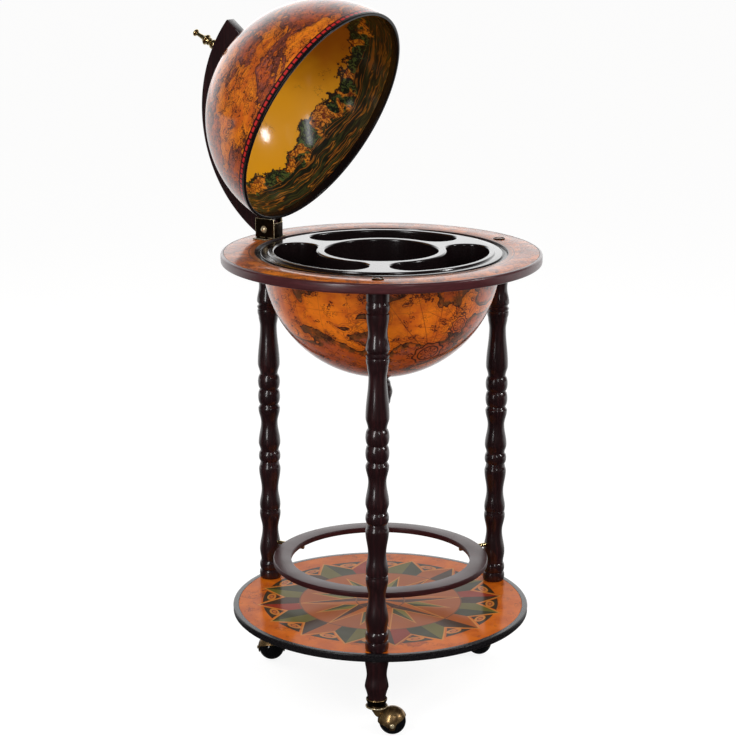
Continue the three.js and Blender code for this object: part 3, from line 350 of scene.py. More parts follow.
def round_edges(piece: Piece, width: float, segments: int = 3, slot: int = -1) -> Piece:
    """Round a piece's sharp edges.

    Args:
        piece: the piece.
        width: width of the rounding in millimetres.
        segments: facets across it.
        slot: material of the rounding, or -1 for that of its neighbours.

    Returns:
        The same piece.
    """
    return modify(
        piece, "BEVEL", width=width, segments=segments, limit_method="ANGLE",
        angle_limit=math.radians(SHARP), miter_outer="MITER_ARC", material=slot,
    )


def moved(piece: Piece, matrix: Matrix) -> Piece:
    """Move a piece by a matrix and put its new place in its mesh."""
    take(piece)
    piece.matrix_world = matrix @ piece.matrix_world
    bpy.ops.object.transform_apply(location=True, rotation=True, scale=True)
    return piece


def copied(piece: Piece, name: str, matrix: Matrix) -> Piece:
    """Copy a piece with a mesh of its own and move the copy."""
    take(piece)
    bpy.ops.object.duplicate(linked=False)
    bpy.context.object.name = name
    return moved(bpy.context.object, matrix)


def joined(name: str, pieces: Sequence[Piece]) -> Piece:
    """Join pieces into one object that keeps the first one's materials first."""
    take(pieces[0])
    for piece in pieces:
        piece.select_set(True)
    bpy.ops.object.join()
    pieces[0].name = name
    return pieces[0]


def coat(piece: Piece, *materials: Material) -> Piece:
    """Give a piece its materials, the first one on every face so far."""
    for material in materials:
        piece.data.materials.append(material)
    return piece


def recoat(piece: Piece, slot: int, test: Test) -> Piece:
    """Give the faces that pass a test another of the piece's materials."""
    for face in piece.data.polygons:
        if test(face.center, face.normal):
            face.material_index = slot
    return piece


def settle(piece: Piece, body: str, slot: str, *nodes: str, angle: float = 32.0) -> None:
    """Bring a piece from millimetres to the frame in metres, hang it on its body and hide the CAD nodes that it
    replaces.

    Args:
        piece: the finished piece.
        body: CAD body that it rides on.
        slot: not used.
        nodes: CAD nodes that it replaces.
        angle: edges sharper than this stay sharp, in degrees.
    """
    take(piece)
    bpy.ops.object.shade_smooth_by_angle(angle=math.radians(angle))
    piece.matrix_world = Matrix.Diagonal((MM, MM, MM, 1.0))
    bpy.ops.object.transform_apply(location=True, rotation=True, scale=True)
    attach(piece, body)
    if nodes:
        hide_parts(*nodes)
    log.info("%s: %d faces, rides on %s", piece.name, len(piece.data.polygons), body)


def about(angle: float, axis: str = "Z") -> Matrix:
    """Give a turn about an axis by an angle in degrees."""
    return Matrix.Rotation(math.radians(angle), 4, axis)


def shift(x: float, y: float, z: float) -> Matrix:
    """Give a move in millimetres."""
    return Matrix.Translation((x, y, z))


def at_leg(azimuth: float) -> Matrix:
    """Give the move from the Z axis to the leg at an azimuth."""
    return Matrix.Translation(about(azimuth) @ Vector((LEG_CIRCLE, 0.0, 0.0)))


def tilt_back() -> Matrix:
    """Give the turn of the lid from closed to open, about the hinge."""
    return Matrix.Translation(HINGE) @ about(-OPEN_ANGLE, "X") @ Matrix.Translation(-HINGE)


def along_hinge() -> Matrix:
    """Give the move from the Z axis to the hinge's axis."""
    return Matrix.Translation(HINGE) @ about(90.0, "Y")


def drilled(piece: Piece, radius: float, low: float, high: float, segments: int, lay: Matrix | None = None) -> Piece:
    """Drill a round hole through a piece.

    Args:
        piece: the piece.
        radius: the hole's radius.
        low: where the drill starts along Z.
        high: where it ends.
        segments: facets round the hole.
        lay: the drill's place, if it isn't on the Z axis.

    Returns:
        The piece with its hole.
    """
    drill = turn("drill", [(0.0, low), (radius, low), (radius, high), (0.0, high)], segments)
    return cut_by(piece, moved(drill, lay or Matrix()))


# Materials


def linear(colour: str) -> tuple[float, float, float, float]:
    """Turn an sRGB colour such as #c8690f to linear light."""
    parts = [int(colour[i : i + 2], 16) / 255 for i in (1, 3, 5)]
    red, green, blue = (c / 12.92 if c <= 0.04045 else ((c + 0.055) / 1.055) ** 2.4 for c in parts)
    return red, green, blue, 1.0


class Op(Enum):
    """What a node does: its type, and the setting that picks it."""

    PLUS = "Math", "operation", "ADD"
    MINUS = "Math", "operation", "SUBTRACT"
    TIMES = "Math", "operation", "MULTIPLY"
    TIMES_PLUS = "Math", "operation", "MULTIPLY_ADD"
    LARGER = "Math", "operation", "MAXIMUM"
    SIZE = "Math", "operation", "ABSOLUTE"
    SINE = "Math", "operation", "SINE"
    COSINE = "Math", "operation", "COSINE"
    AZIMUTH = "Math", "operation", "ARCTAN2"
    FOLD = "Math", "operation", "PINGPONG"
    SHIFT = "VectorMath", "operation", "ADD"
    OFFSET = "VectorMath", "operation", "SUBTRACT"
    SCALE = "VectorMath", "operation", "MULTIPLY"
    CROSS = "VectorMath", "operation", "CROSS_PRODUCT"
    DOT = "VectorMath", "operation", "DOT_PRODUCT"
    LENGTH = "VectorMath", "operation", "LENGTH"
    UNIT = "VectorMath", "operation", "NORMALIZE"
    LOCAL = "Mapping", "vector_type", "TEXTURE"
    MIX = "Mix", "data_type", "RGBA"
    STEP = "MapRange", "interpolation_type", "SMOOTHSTEP"


class Tree:
    """The nodes of a material or of the world."""

    def __init__(self, owner: Material | bpy.types.World) -> None:
        """Start with nothing but the coordinates."""
        owner.use_nodes = True
        self.owner = owner
        self.nodes = owner.node_tree.nodes
        self.nodes.clear()
        self.coords = self.add("TexCoord").node.outputs

    def add(self, kind: Op | str, *values: object, **by_name: object) -> Socket:
        """Add a node with its setting and its links.

        Args:
            kind: what the node does, or its type without the ShaderNode prefix.
            values: a socket to link, a plain value or a hex colour for each input in turn.
            by_name: the same for inputs by name, with underscores for spaces.

        Returns:
            The node's first output that is switched on, or its first input if it has no output.
        """
        type_, key, setting = kind.value if isinstance(kind, Op) else (kind, "label", "")
        node = self.nodes.new(f"ShaderNode{type_}")
        setattr(node, key, setting)
        inputs = list(zip((socket for socket in node.inputs if socket.enabled), values))
        inputs += [(node.inputs[name.replace("_", " ")], value) for name, value in by_name.items()]
        for socket, value in inputs:
            if isinstance(value, Socket):
                self.owner.node_tree.links.new(value, socket)
            else:
                socket.default_value = linear(value) if isinstance(value, str) else value
        return next((socket for socket in node.outputs if socket.enabled), None) or node.inputs[0]

    def fold(self, kind: Op, *values: Socket | float) -> Socket:
        """Take several values together, two at a time."""
        return reduce(lambda total, value: self.add(kind, total, value), values)

    def stripe(self, value: Socket, middle: float, half: float) -> Socket:
        """Give 1 at a value and 0 further off than half a stripe."""
        off = self.add(Op.SIZE, self.add(Op.MINUS, value, middle))
        return self.add(Op.STEP, off, half * 0.55, half, 1.0, 0.0)

    def local(self, centre: Vector, unit: float, tilt: float = 0.0) -> Socket:
        """Give object coordinates about a centre.

        Args:
            centre: the centre in millimetres.
            unit: length in millimetres that becomes 1.
            tilt: turn about X that the piece has, in degrees.

        Returns:
            The coordinates.
        """
        turned = (math.radians(tilt), 0.0, 0.0)
        return self.add(Op.LOCAL, self.coords["Object"], centre * MM, turned, (unit * MM,) * 3)

    def surface(self, colour: Socket, height: Socket, depth: float, **values: object) -> Material:
        """Finish the material with one shader.

        Args:
            colour: base colour.
            height: height of the bumps.
            depth: their depth in metres.
            values: the shader's other inputs.

        Returns:
            The material.
        """
        bump = self.add("Bump", Height=height, Distance=depth)
        self.add("OutputMaterial", self.add("BsdfPrincipled", Base_Color=colour, Normal=bump, **values))
        return self.owner


@dataclass(frozen=True)
class Finish:
    """A finish of the bar: its name and the nodes that draw it."""

    name: str

    @cached_property
    def tree(self) -> Tree:
        """Give the nodes of its material, begun on first use."""
        return Tree(bpy.data.materials.new(self.name))

    @cached_property
    def place(self) -> Socket:
        """Give the coordinates that its pattern lies in, here metres."""
        return self.tree.coords["Object"]

    @cached_property
    def parts(self) -> Sequence[Socket]:
        """Give the same coordinates one by one."""
        return self.tree.add("SeparateXYZ", self.place).node.outputs


# Which way the grain runs: its density along X, Y and Z.
UPRIGHT = (1.0, 1.0, 0.06)
ROUND_EDGE = (0.15, 0.15, 1.0)


@dataclass(frozen=True)
class Lacquer(Finish):
    """Turned or sawn beech, stained very dark and sprayed with gloss lacquer.

    The stain leaves only a hint of the grain. The lacquer is smooth and gives small, sharp lights.
    """

    stain: str
    grain: str
    grain_mm: float = 3.0
    run: tuple[float, float, float] = UPRIGHT
    gloss: float = 0.13
    coat: float = 0.95

    def make(self) -> Material:
        """Build the material."""
        add, place = self.tree.add, self.place
        along = add("Mapping", place, Scale=tuple(s / (self.grain_mm * MM) for s in self.run))
        fibre = add("TexNoise", along, 1.0, 4.0, 0.6)
        cloud = add("TexNoise", place, 18.0, 2.0)
        share = add(Op.TIMES, add(Op.STEP, fibre, 0.42, 0.78), cloud)
        return self.tree.surface(
            add(Op.MIX, share, self.stain, self.grain), add("TexNoise", place, 90.0, 1.0), 0.00004,
            Roughness=add("MapRange", cloud, 0.3, 0.7, 0.34, 0.44), IOR=1.5, Specular_IOR_Level=0.2,
            Coat_Weight=self.coat, Coat_Roughness=self.gloss, Coat_IOR=1.5,
        )


@dataclass(frozen=True)
class Metal(Finish):
    """Plated metal: a dark patina lies in patches and rubbed places shine.

    Where it is less than bare, a thin clear varnish lies over it and scatters some light.
    """

    rubbed: str
    patina: str
    patch_mm: float = 5.0
    cover: float = 0.5
    shine: float = 0.24
    bare: float = 1.0

    def make(self) -> Material:
        """Build the material."""
        add = self.tree.add
        patches = add("TexNoise", self.place, 1.0 / (self.patch_mm * MM), 4.0, 0.62)
        share = add(Op.STEP, patches, self.cover - 0.16, self.cover + 0.16)
        rough = add("MapRange", patches, 0.3, 0.7, self.shine + 0.14, self.shine)
        colour = add(Op.MIX, share, self.patina, self.rubbed)
        return self.tree.surface(colour, patches, 0.00006, Metallic=self.bare, Roughness=rough)


@dataclass(frozen=True)
class Moulded(Finish):
    """Moulded plastic with the faint waviness of its mould and a little dust."""

    colour: str
    worn: str
    gloss: float = 0.14
    gleam: float = 0.4
    coat: float = 0.0

    def make(self) -> Material:
        """Build the material."""
        add, place = self.tree.add, self.place
        dust = add("TexNoise", place, 700.0, 2.0)
        colour = add(Op.MIX, add(Op.STEP, dust, 0.5, 0.72), self.colour, self.worn)
        return self.tree.surface(
            colour, add("TexNoise", place, 55.0, 2.0), 0.00003, IOR=1.49, Specular_IOR_Level=self.gleam,
            Roughness=add("MapRange", dust, 0.35, 0.7, self.gloss, self.gloss + 0.04),
            Coat_Weight=self.coat, Coat_Roughness=self.gloss, Coat_IOR=1.49,
        )


@dataclass(frozen=True)
class Print(Finish):
    """Printed paper under clear gloss lacquer, whose soft-edged lights lie over the print."""

    gloss: float = 0.12
    coat: float = 0.9

    def varnish(self, colour: Socket) -> Material:
        """Put the print under its lacquer."""
        add = self.tree.add
        wave = add("TexNoise", self.tree.coords["Object"], 38.0, 2.0)
        return self.tree.surface(
            colour, wave, 0.00006, Roughness=add("MapRange", wave, 0.3, 0.7, 0.42, 0.52), IOR=1.5,
            Specular_IOR_Level=0.13 * self.coat, Coat_Weight=self.coat, Coat_Roughness=self.gloss, Coat_IOR=1.5,
        )


@dataclass(frozen=True)
class Map(Print):
    """An antique map of no real country.

    Coasts come from one slow noise. Land is mottled and darkens to its coast, water lines follow the
    coast, islands lie off it, small peaks stand on it, and fine engraved strokes cross it all.
    """

    sea: str = "#c8700e"
    deep: str = "#ae530f"
    land: str = "#8f3f1a"
    plum: str = "#74413a"
    shade: str = "#4a2e22"
    ink: str = "#2a140e"
    shore: float = 0.53
    size: float = 1.5
    pole: float = 0.0
    busy: float = 0.5
    drift: tuple[float, float, float] = (0.0, 0.0, 0.0)
    stretch: float = 1.0
    ragged: float = 0.56
    relief: bool = False
    faded: float = 0.0
    centre: Vector = field(default_factory=Vector)
    tilt: float = 0.0

    @cached_property
    def place(self) -> Socket:
        """Give coordinates in which the globe's radius is 1."""
        return self.tree.local(self.centre, GLOBE_RADIUS, self.tilt)

    @cached_property
    def spot(self) -> Socket:
        """Give the same, drifted to this print's own place in the noise."""
        return self.tree.add("Mapping", self.place, self.drift, Scale=(1.0, 1.0, self.stretch))

    @cached_property
    def slow(self) -> Socket:
        """Give the noise that makes the coasts. It can rise to land at a pole."""
        add = self.tree.add
        slow = add("TexNoise", self.spot, self.size, 8.0, self.ragged, Distortion=0.4)
        if not self.pole:
            return slow
        polar = add(Op.STEP, add(Op.TIMES, self.parts[2], self.pole), 0.5, 0.78)
        return add(Op.TIMES_PLUS, polar, 0.22, slow)

    @cached_property
    def away(self) -> Socket:
        """Give the distance from the centre in millimetres."""
        return self.tree.add(Op.TIMES, self.tree.add(Op.LENGTH, self.place), GLOBE_RADIUS)

    @cached_property
    def turned(self) -> Socket:
        """Give the azimuth in radians."""
        return self.tree.add(Op.AZIMUTH, self.parts[1], self.parts[0])

    def draw(self) -> Socket:
        """Print sea and land and engrave them."""
        add, slow, shore = self.tree.add, self.slow, self.shore
        stain = add("TexNoise", self.spot, 4.2, 5.0, 0.65)
        mottle = add("TexNoise", self.spot, 17.0, 5.0, 0.74)
        sea = add(Op.MIX, add(Op.STEP, stain, 0.38, 0.64), self.sea, self.deep)
        fringe = add(Op.TIMES, add(Op.STEP, slow, shore - 0.05, shore), add(Op.STEP, mottle, 0.4, 0.6))
        fringe = add(Op.TIMES, fringe, 0.5)
        sea = add(Op.MIX, fringe, sea, self.land)
        land = add(Op.MIX, add(Op.STEP, stain, 0.45, 0.6), self.land, self.plum)
        land = add(Op.MIX, add(Op.STEP, mottle, 0.47, 0.6), land, self.deep)
        inland = add(Op.STEP, add(Op.TIMES_PLUS, mottle, 0.2, slow), shore + 0.11, shore + 0.17)
        coast = add(Op.TIMES, add(Op.MINUS, 1.0, inland), 0.85 - 0.5 * self.faded)
        land = add(Op.MIX, coast, land, self.shade)
        printed = add(Op.MIX, add(Op.STEP, slow, shore - 0.003, shore + 0.003), sea, land)
        return add(Op.MIX, self.engraving(), printed, self.ink)

    def engraving(self) -> Socket:
        """Engrave coast lines, islands, strokes and the net of lines.

        Returns:
            Strength of the ink. Lines are about 0.9 mm wide, drawn coarser than real ones to show.
        """
        add, stripe, fold = self.tree.add, self.tree.stripe, self.tree.fold
        drifts = add("TexNoise", self.spot, 2.6, 2.0)
        crowd = add(Op.STEP, drifts, 0.62 - 0.24 * self.busy, 0.72 - 0.24 * self.busy)
        isles = add(Op.TIMES_PLUS, crowd, 0.12, add("TexNoise", self.spot, 8.5, 4.0, 0.62))
        isle = add(Op.LARGER, stripe(isles, 0.67, 0.026), add(Op.STEP, isles, 0.71, 0.8))
        thin = add("Mapping", self.spot, Scale=(1.0, 1.0, 2.4))
        stroke = add(Op.TIMES, stripe(add("TexNoise", thin, 27.0, 3.0, 0.7), 0.56, 0.03), crowd)
        coils = add("TexNoise", self.spot, 12.0, 3.0, 0.55)
        figures = fold(Op.TIMES, stripe(add(Op.FOLD, coils, 0.035), 0.0, 0.015), add(Op.STEP, coils, 0.5, 0.54),
                       add(Op.STEP, drifts, 0.5, 0.42))
        if self.relief:
            figures = add(Op.LARGER, figures, self.peaks())
        water = [add(Op.TIMES, stripe(self.slow, self.shore - level, 0.004), 0.5) for level in (0.018, 0.034)]
        coast = stripe(self.slow, self.shore, 0.006)
        ink = fold(Op.LARGER, coast, isle, *water, figures, stroke, self.net())
        return add(Op.TIMES, ink, 0.92 - 0.6 * self.faded)

    def peaks(self) -> Socket:
        """Draw small mountain peaks on the land of a globe, as old maps have them.

        Returns:
            Strength of their lines. A peak is some 7 mm wide, with hatching on its right.
        """
        add, stripe, fold = self.tree.add, self.tree.stripe, self.tree.fold
        cells = add("TexVoronoi", self.place, 13.0, Randomness=0.8).node.outputs
        off = add(Op.OFFSET, self.place, cells["Position"])
        east = add(Op.UNIT, add(Op.CROSS, UP, self.place))
        across = add(Op.DOT, off, east)
        up = add(Op.DOT, off, add(Op.CROSS, self.place, east))
        slope = add(Op.TIMES_PLUS, add(Op.SIZE, across), 1.3, up)
        hatch = fold(Op.TIMES, stripe(add(Op.FOLD, across, 0.0035), 0.0, 0.0024), add(Op.STEP, slope, 0.02, 0.016),
                     add(Op.STEP, across, 0.0, 0.002))
        line = add(Op.LARGER, stripe(slope, 0.019, 0.0045), hatch)
        land = add(Op.STEP, self.slow, self.shore - 0.01, self.shore + 0.01)
        chosen = add(Op.STEP, add("SeparateXYZ", cells["Color"]), 0.4, 0.42)
        return fold(Op.TIMES, line, add(Op.STEP, up, -0.012, -0.009), land, chosen)

    def net(self) -> Socket:
        """Draw fine lines of longitude and latitude, 15 degrees apart.

        Returns:
            Strength of the lines, about 0.7 mm wide, drawn pale so that they only just show.
        """
        add, stripe = self.tree.add, self.tree.stripe
        meridians = stripe(add(Op.FOLD, self.turned, math.radians(7.5)), 0.0, 0.004)
        parallels = stripe(add(Op.FOLD, self.parts[2], 0.13), 0.0, 0.004)
        return add(Op.TIMES, add(Op.LARGER, meridians, parallels), 0.3)


@dataclass(frozen=True)
class GlobePrint(Map):
    """The map on the bowl and on the lid's outside, with rosettes and a dashed line at the rim."""

    rosettes: tuple[tuple[float, float, float], ...] = ()
    rim: bool = False

    def make(self) -> Material:
        """Build the material."""
        colour = self.draw()
        for azimuth, height, size in self.rosettes:
            colour = self.rosette(colour, azimuth, height, size)
        return self.varnish(self.rim_line(colour) if self.rim else colour)

    def rosette(self, under: Socket, azimuth: float, height: float, size: float) -> Socket:
        """Draw a compass rosette of rings and petals, with thin course lines out from it.

        Args:
            under: the print so far.
            azimuth: its azimuth in degrees.
            height: height of its middle over the globe's centre, as a share of the radius.
            size: its radius in millimetres.

        Returns:
            The print with the rosette.
        """
        add, stripe, fold = self.tree.add, self.tree.stripe, self.tree.fold
        middle = about(azimuth) @ Vector((math.sqrt(1.0 - height**2), 0.0, height))
        east = UP.cross(middle).normalized()
        off = add(Op.OFFSET, self.place, middle)
        far = add(Op.TIMES, add(Op.LENGTH, off), GLOBE_RADIUS / size)
        turned = add(Op.AZIMUTH, add(Op.DOT, off, middle.cross(east)), add(Op.DOT, off, east))
        wave = add(Op.COSINE, add(Op.TIMES, turned, 8.0))
        scallop = add(Op.TIMES_PLUS, wave, 0.07, far)
        disc = add(Op.TIMES, add(Op.MINUS, 1.0, add(Op.STEP, scallop, 0.92, 1.0)), 0.62)
        petals = add(Op.MINUS, far, add(Op.TIMES_PLUS, wave, 0.16, 0.34))
        course = stripe(add(Op.TIMES, add(Op.FOLD, turned, math.pi / 16), far), 0.0, 0.035)
        course = fold(Op.TIMES, course, add(Op.STEP, far, 6.0, 3.0), add(Op.STEP, far, 0.9, 1.1), 0.6)
        lines = fold(Op.LARGER, stripe(petals, 0.0, 0.09), stripe(scallop, 0.94, 0.08), stripe(far, 0.66, 0.07), course)
        return add(Op.MIX, add(Op.TIMES, lines, 0.9), add(Op.MIX, disc, under, self.land), self.ink)

    def rim_line(self, under: Socket) -> Socket:
        """Draw a line of red dashes between black lines, 10 mm apart along the rim, on the print so far."""
        add = self.tree.add
        over = add(Op.TIMES, self.parts[2], GLOBE_RADIUS)
        dash = add(Op.STEP, add(Op.FOLD, self.turned, math.pi / 105), 0.0068, 0.0086)
        red = add(Op.TIMES, dash, self.tree.stripe(over, 6.6, 2.3))
        return add(Op.MIX, red, add(Op.MIX, add(Op.STEP, over, 10.8, 9.8), under, "#140809"), "#a41e1c")


@dataclass(frozen=True)
class DomePainting(Print):
    """A generic painting inside the lid: a golden sky, bushes, and long dark strata to the rim.

    It is printed paper under lacquer, as the maps are. The lacquer is a little duller in here.
    """

    gold: str = "#e09a0e"
    shaded_gold: str = "#a0590c"
    horizon: float = 0.48
    strata_mm: float = 11.0

    @cached_property
    def place(self) -> Socket:
        """Give coordinates in which the dome's radius is 1."""
        return self.tree.local(LID_CENTRE, DOME_RADIUS, -OPEN_ANGLE)

    @cached_property
    def broad(self) -> Socket:
        """Give the slow noise that bends the painting's lines."""
        return self.tree.add("TexNoise", self.place, 1.9, 3.0, 0.55)

    def make(self) -> Material:
        """Build the material."""
        add = self.tree.add
        rise = add(Op.TIMES_PLUS, add("TexNoise", self.place, 8.0, 5.0, 0.66), 0.26, self.parts[2])
        rise = add(Op.TIMES_PLUS, self.broad, 0.34, rise)
        rise = add(Op.MINUS, rise, 0.3 + self.horizon)
        ground = self.bushes(rise, self.strata())
        painting = add(Op.MIX, add(Op.STEP, rise, 0.006, -0.006), self.sky(), ground)
        return self.varnish(add(Op.MIX, self.tree.stripe(rise, 0.0, 0.014), painting, "#2a1c10"))

    def sky(self) -> Socket:
        """Paint the sky: gold that browns to one side as painted shade, with a few small marks like far birds."""
        add = self.tree.add
        # Painted shade: the gold browns towards the side of the dome that gets less light.
        toward_shade = add(Op.TIMES_PLUS, self.broad, 0.7, self.parts[1])
        sky = add(Op.MIX, add(Op.STEP, toward_shade, 0.62, -0.05), self.gold, self.shaded_gold)
        specks = self.tree.stripe(add("TexNoise", self.place, 26.0, 3.0, 0.6), 0.5, 0.02)
        flocks = add(Op.STEP, add("TexNoise", self.place, 4.4, 1.0), 0.6, 0.66)
        return add(Op.MIX, self.tree.fold(Op.TIMES, specks, flocks, 0.6), sky, "#5a3210")

    def strata(self) -> Socket:
        """Paint the ground: long wavy bands that run along the rim, darker on one side with painted shade."""
        add = self.tree.add
        layer = add(Op.TIMES, self.parts[2], DOME_RADIUS / self.strata_mm / 2.2)
        layer = add("CombineXYZ", Z=add(Op.TIMES_PLUS, self.broad, 1.4, layer))
        flow = add(Op.SHIFT, add(Op.SCALE, self.place, (0.6, 0.6, 0.0)), layer)
        bands = add("ValToRGB", add("TexNoise", flow, 2.2, 3.0, 0.45))
        stops = (
            (0.3, "#10130c"), (0.38, "#202716"), (0.42, "#10130c"), (0.45, "#a4621c"), (0.462, "#241c10"),
            (0.5, "#141a10"), (0.535, "#3a3c1c"), (0.555, "#12150d"), (0.57, "#b87422"), (0.58, "#543414"),
            (0.6, "#181a10"), (0.66, "#3c4220"), (0.7, "#a8641f"),
        )
        ramp = bands.node.color_ramp.elements
        for stop, end in ((ramp[0], stops[0]), (ramp[-1], stops[-1])):
            stop.position, stop.color = end[0], linear(end[1])
        for spot, colour in stops[1:-1]:
            ramp.new(spot).color = linear(colour)
        # Painted shade: the ground darkens on the same side as the sky.
        side_shade = add(Op.TIMES, add(Op.STEP, self.parts[1], 0.35, -0.3), 0.45)
        return add(Op.MIX, side_shade, bands, "#1c120b")

    def bushes(self, rise: Socket, under: Socket) -> Socket:
        """Paint clumps of dark green and rust leaves where the ground meets the sky.

        Args:
            rise: height over the horizon.
            under: the ground's colour.

        Returns:
            The ground with its bushes.
        """
        add = self.tree.add
        leaf = add("TexNoise", self.place, 26.0, 3.0, 0.6, Distortion=1.2)
        clump = add(Op.STEP, add("TexNoise", self.place, 6.4, 2.0), 0.5, 0.53)
        green = add(Op.MIX, add(Op.STEP, leaf, 0.42, 0.6), "#10160f", "#4c5a2a")
        rust = add(Op.MIX, add(Op.STEP, leaf, 0.4, 0.56), "#6e2c0a", "#d6801c")
        bush = add(Op.MIX, self.tree.stripe(leaf, 0.5, 0.018), add(Op.MIX, clump, green, rust), "#170e08")
        depth = add(Op.TIMES_PLUS, leaf, 0.16, rise)
        return add(Op.MIX, add(Op.STEP, depth, -0.06, -0.03), under, bush)


@dataclass(frozen=True)
class RingPrint(Map):
    """The print on the table's ring board: the faded map between two dark lines."""

    mouth: float = 178.0
    outer: float = 222.0

    def make(self) -> Material:
        """Build the material."""
        add, stripe, away = self.tree.add, self.tree.stripe, self.away
        colour = add(Op.MIX, stripe(away, self.mouth, 7.5), self.draw(), "#7c4014")
        lines = self.tree.fold(Op.LARGER, stripe(away, self.mouth + 8.2, 1.1), stripe(away, self.mouth, 1.4),
                               add(Op.STEP, away, self.outer - 1.4, self.outer))
        return self.varnish(add(Op.MIX, add(Op.TIMES, lines, 0.85), colour, self.ink))


@dataclass(frozen=True)
class ShelfPrint(Map):
    """The print on the shelf: a compass rose of two-tone rays with a pennant in each gap."""

    rays: int = 16
    start: float = 128.0
    tip: float = 177.0
    notch: float = 140.0
    core: float = 118.0
    pale: str = "#b0702e"

    @cached_property
    def rose_turn(self) -> Socket:
        """Give the azimuth in radians from the rose's first ray."""
        return self.tree.add(Op.PLUS, self.turned, math.tau - math.radians(self.start))

    def make(self) -> Material:
        """Build the material."""
        return self.varnish(self.middle(self.pennants(self.ray_ring(self.draw()))))

    def swing(self, turned: Socket, times: float, edge: float) -> Socket:
        """Give 0 or 1 by turns round the rose.

        Args:
            turned: azimuth in radians.
            times: number of turns from 0 to 1 and back in a full circle.
            edge: where in its beat the first change lies, as an angle in degrees.

        Returns:
            The share, with a sharp change.
        """
        wave = self.tree.add(Op.TIMES_PLUS, turned, times, math.radians(edge))
        return self.tree.add(Op.STEP, self.tree.add(Op.SINE, wave), -0.03, 0.03)

    def spoke(self, turned: Socket, count: int, tip: float, notch: float) -> Socket:
        """Measure how far a spot lies outside a ring of rays.

        Args:
            turned: azimuth in radians.
            count: number of rays.
            tip: distance of their tips in millimetres.
            notch: distance of the notches between them.

        Returns:
            The distance in millimetres, less than 0 inside a ray.
        """
        add, half = self.tree.add, math.pi / count
        slope = notch * half / (tip - notch)
        across = add(Op.TIMES, add(Op.FOLD, turned, half), self.away)
        return add(Op.MINUS, add(Op.TIMES_PLUS, self.away, slope, across), slope * tip)

    def ray_ring(self, under: Socket) -> Socket:
        """Draw the rays: brown and red, olive and green, brown and orange, with pale outlines.

        Args:
            under: the print so far.

        Returns:
            The print with the rays.
        """
        add, turned = self.tree.add, self.rose_turn
        gap = self.spoke(turned, self.rays, self.tip, self.notch)
        half = self.swing(turned, float(self.rays), 0.0)
        warm = add(Op.MIX, self.swing(turned, self.rays / 4, 90.0), "#944a18", "#7e260f")
        warm = add(Op.MIX, half, "#3a2414", warm)
        cool = add(Op.MIX, half, "#33301a", "#5a5220")
        ray = add(Op.MIX, self.swing(turned, self.rays / 2, 90.0), cool, warm)
        colour = add(Op.MIX, add(Op.STEP, gap, 0.5, -0.5), under, ray)
        return add(Op.MIX, self.tree.stripe(gap, 1.4, 1.9), colour, self.pale)

    def pennants(self, under: Socket) -> Socket:
        """Draw a dark pennant in each gap between rays, with an outlined petal on it.

        Args:
            under: the print so far.

        Returns:
            The print with the pennants.
        """
        add, stripe, half = self.tree.add, self.tree.stripe, math.pi / self.rays
        between = add(Op.TIMES, add(Op.FOLD, add(Op.PLUS, self.rose_turn, half), half), self.away)
        inner, outer = self.notch + 6.0, self.tip - 5.0
        side = add(Op.PLUS, add(Op.TIMES_PLUS, self.away, -0.93, between), 0.93 * inner)
        inside = add(Op.TIMES, add(Op.STEP, side, 0.5, -0.5), add(Op.STEP, self.away, outer + 0.5, outer - 0.5))
        colour = add(Op.MIX, inside, under, "#332616")
        petal = add("CombineXYZ", self.away, between)
        petal = add(Op.OFFSET, petal, ((inner + outer) / 2 + 1.5, 0.0, 0.0))
        petal = add(Op.LENGTH, add(Op.SCALE, petal, (1 / 5.6, 1 / 11.5, 0.0)))
        colour = add(Op.MIX, add(Op.STEP, petal, 1.0, 0.92), colour, "#ad5f2c")
        colour = add(Op.MIX, stripe(petal, 0.5, 0.14), colour, "#6a3c20")
        return add(Op.MIX, stripe(petal, 1.0, 0.2), colour, self.pale)

    def middle(self, under: Socket) -> Socket:
        """Draw the rose's middle: two rounds of eight long rays in a ring.

        Args:
            under: the print so far.

        Returns:
            The print with its middle.
        """
        add, stripe, turned, core = self.tree.add, self.tree.stripe, self.rose_turn, self.core
        colour = add(Op.MIX, add(Op.STEP, self.away, core + 0.5, core - 0.5), under, "#924a1a")
        tilted = add(Op.PLUS, turned, math.pi / 8)
        for angle, reach, dark, light in ((tilted, 0.84, "#3c3a1a", "#6e6226"), (turned, 0.96, "#46281a", "#a0541e")):
            gap = self.spoke(angle, 8, core * reach, core * 0.3)
            ray = add(Op.MIX, self.swing(angle, 8.0, 0.0), dark, light)
            colour = add(Op.MIX, add(Op.STEP, gap, 0.5, -0.5), colour, ray)
            colour = add(Op.MIX, stripe(gap, 0.8, 1.3), colour, self.pale)
        rings = add(Op.LARGER, stripe(self.away, core, 1.3), stripe(self.away, core * 0.3, 1.3))
        return add(Op.MIX, rings, colour, "#6a3c20")


# Finishes


def made(finish: Finish) -> Material:
    """Leave a material to be made with the finishes."""
    return field(default_factory=finish.make)


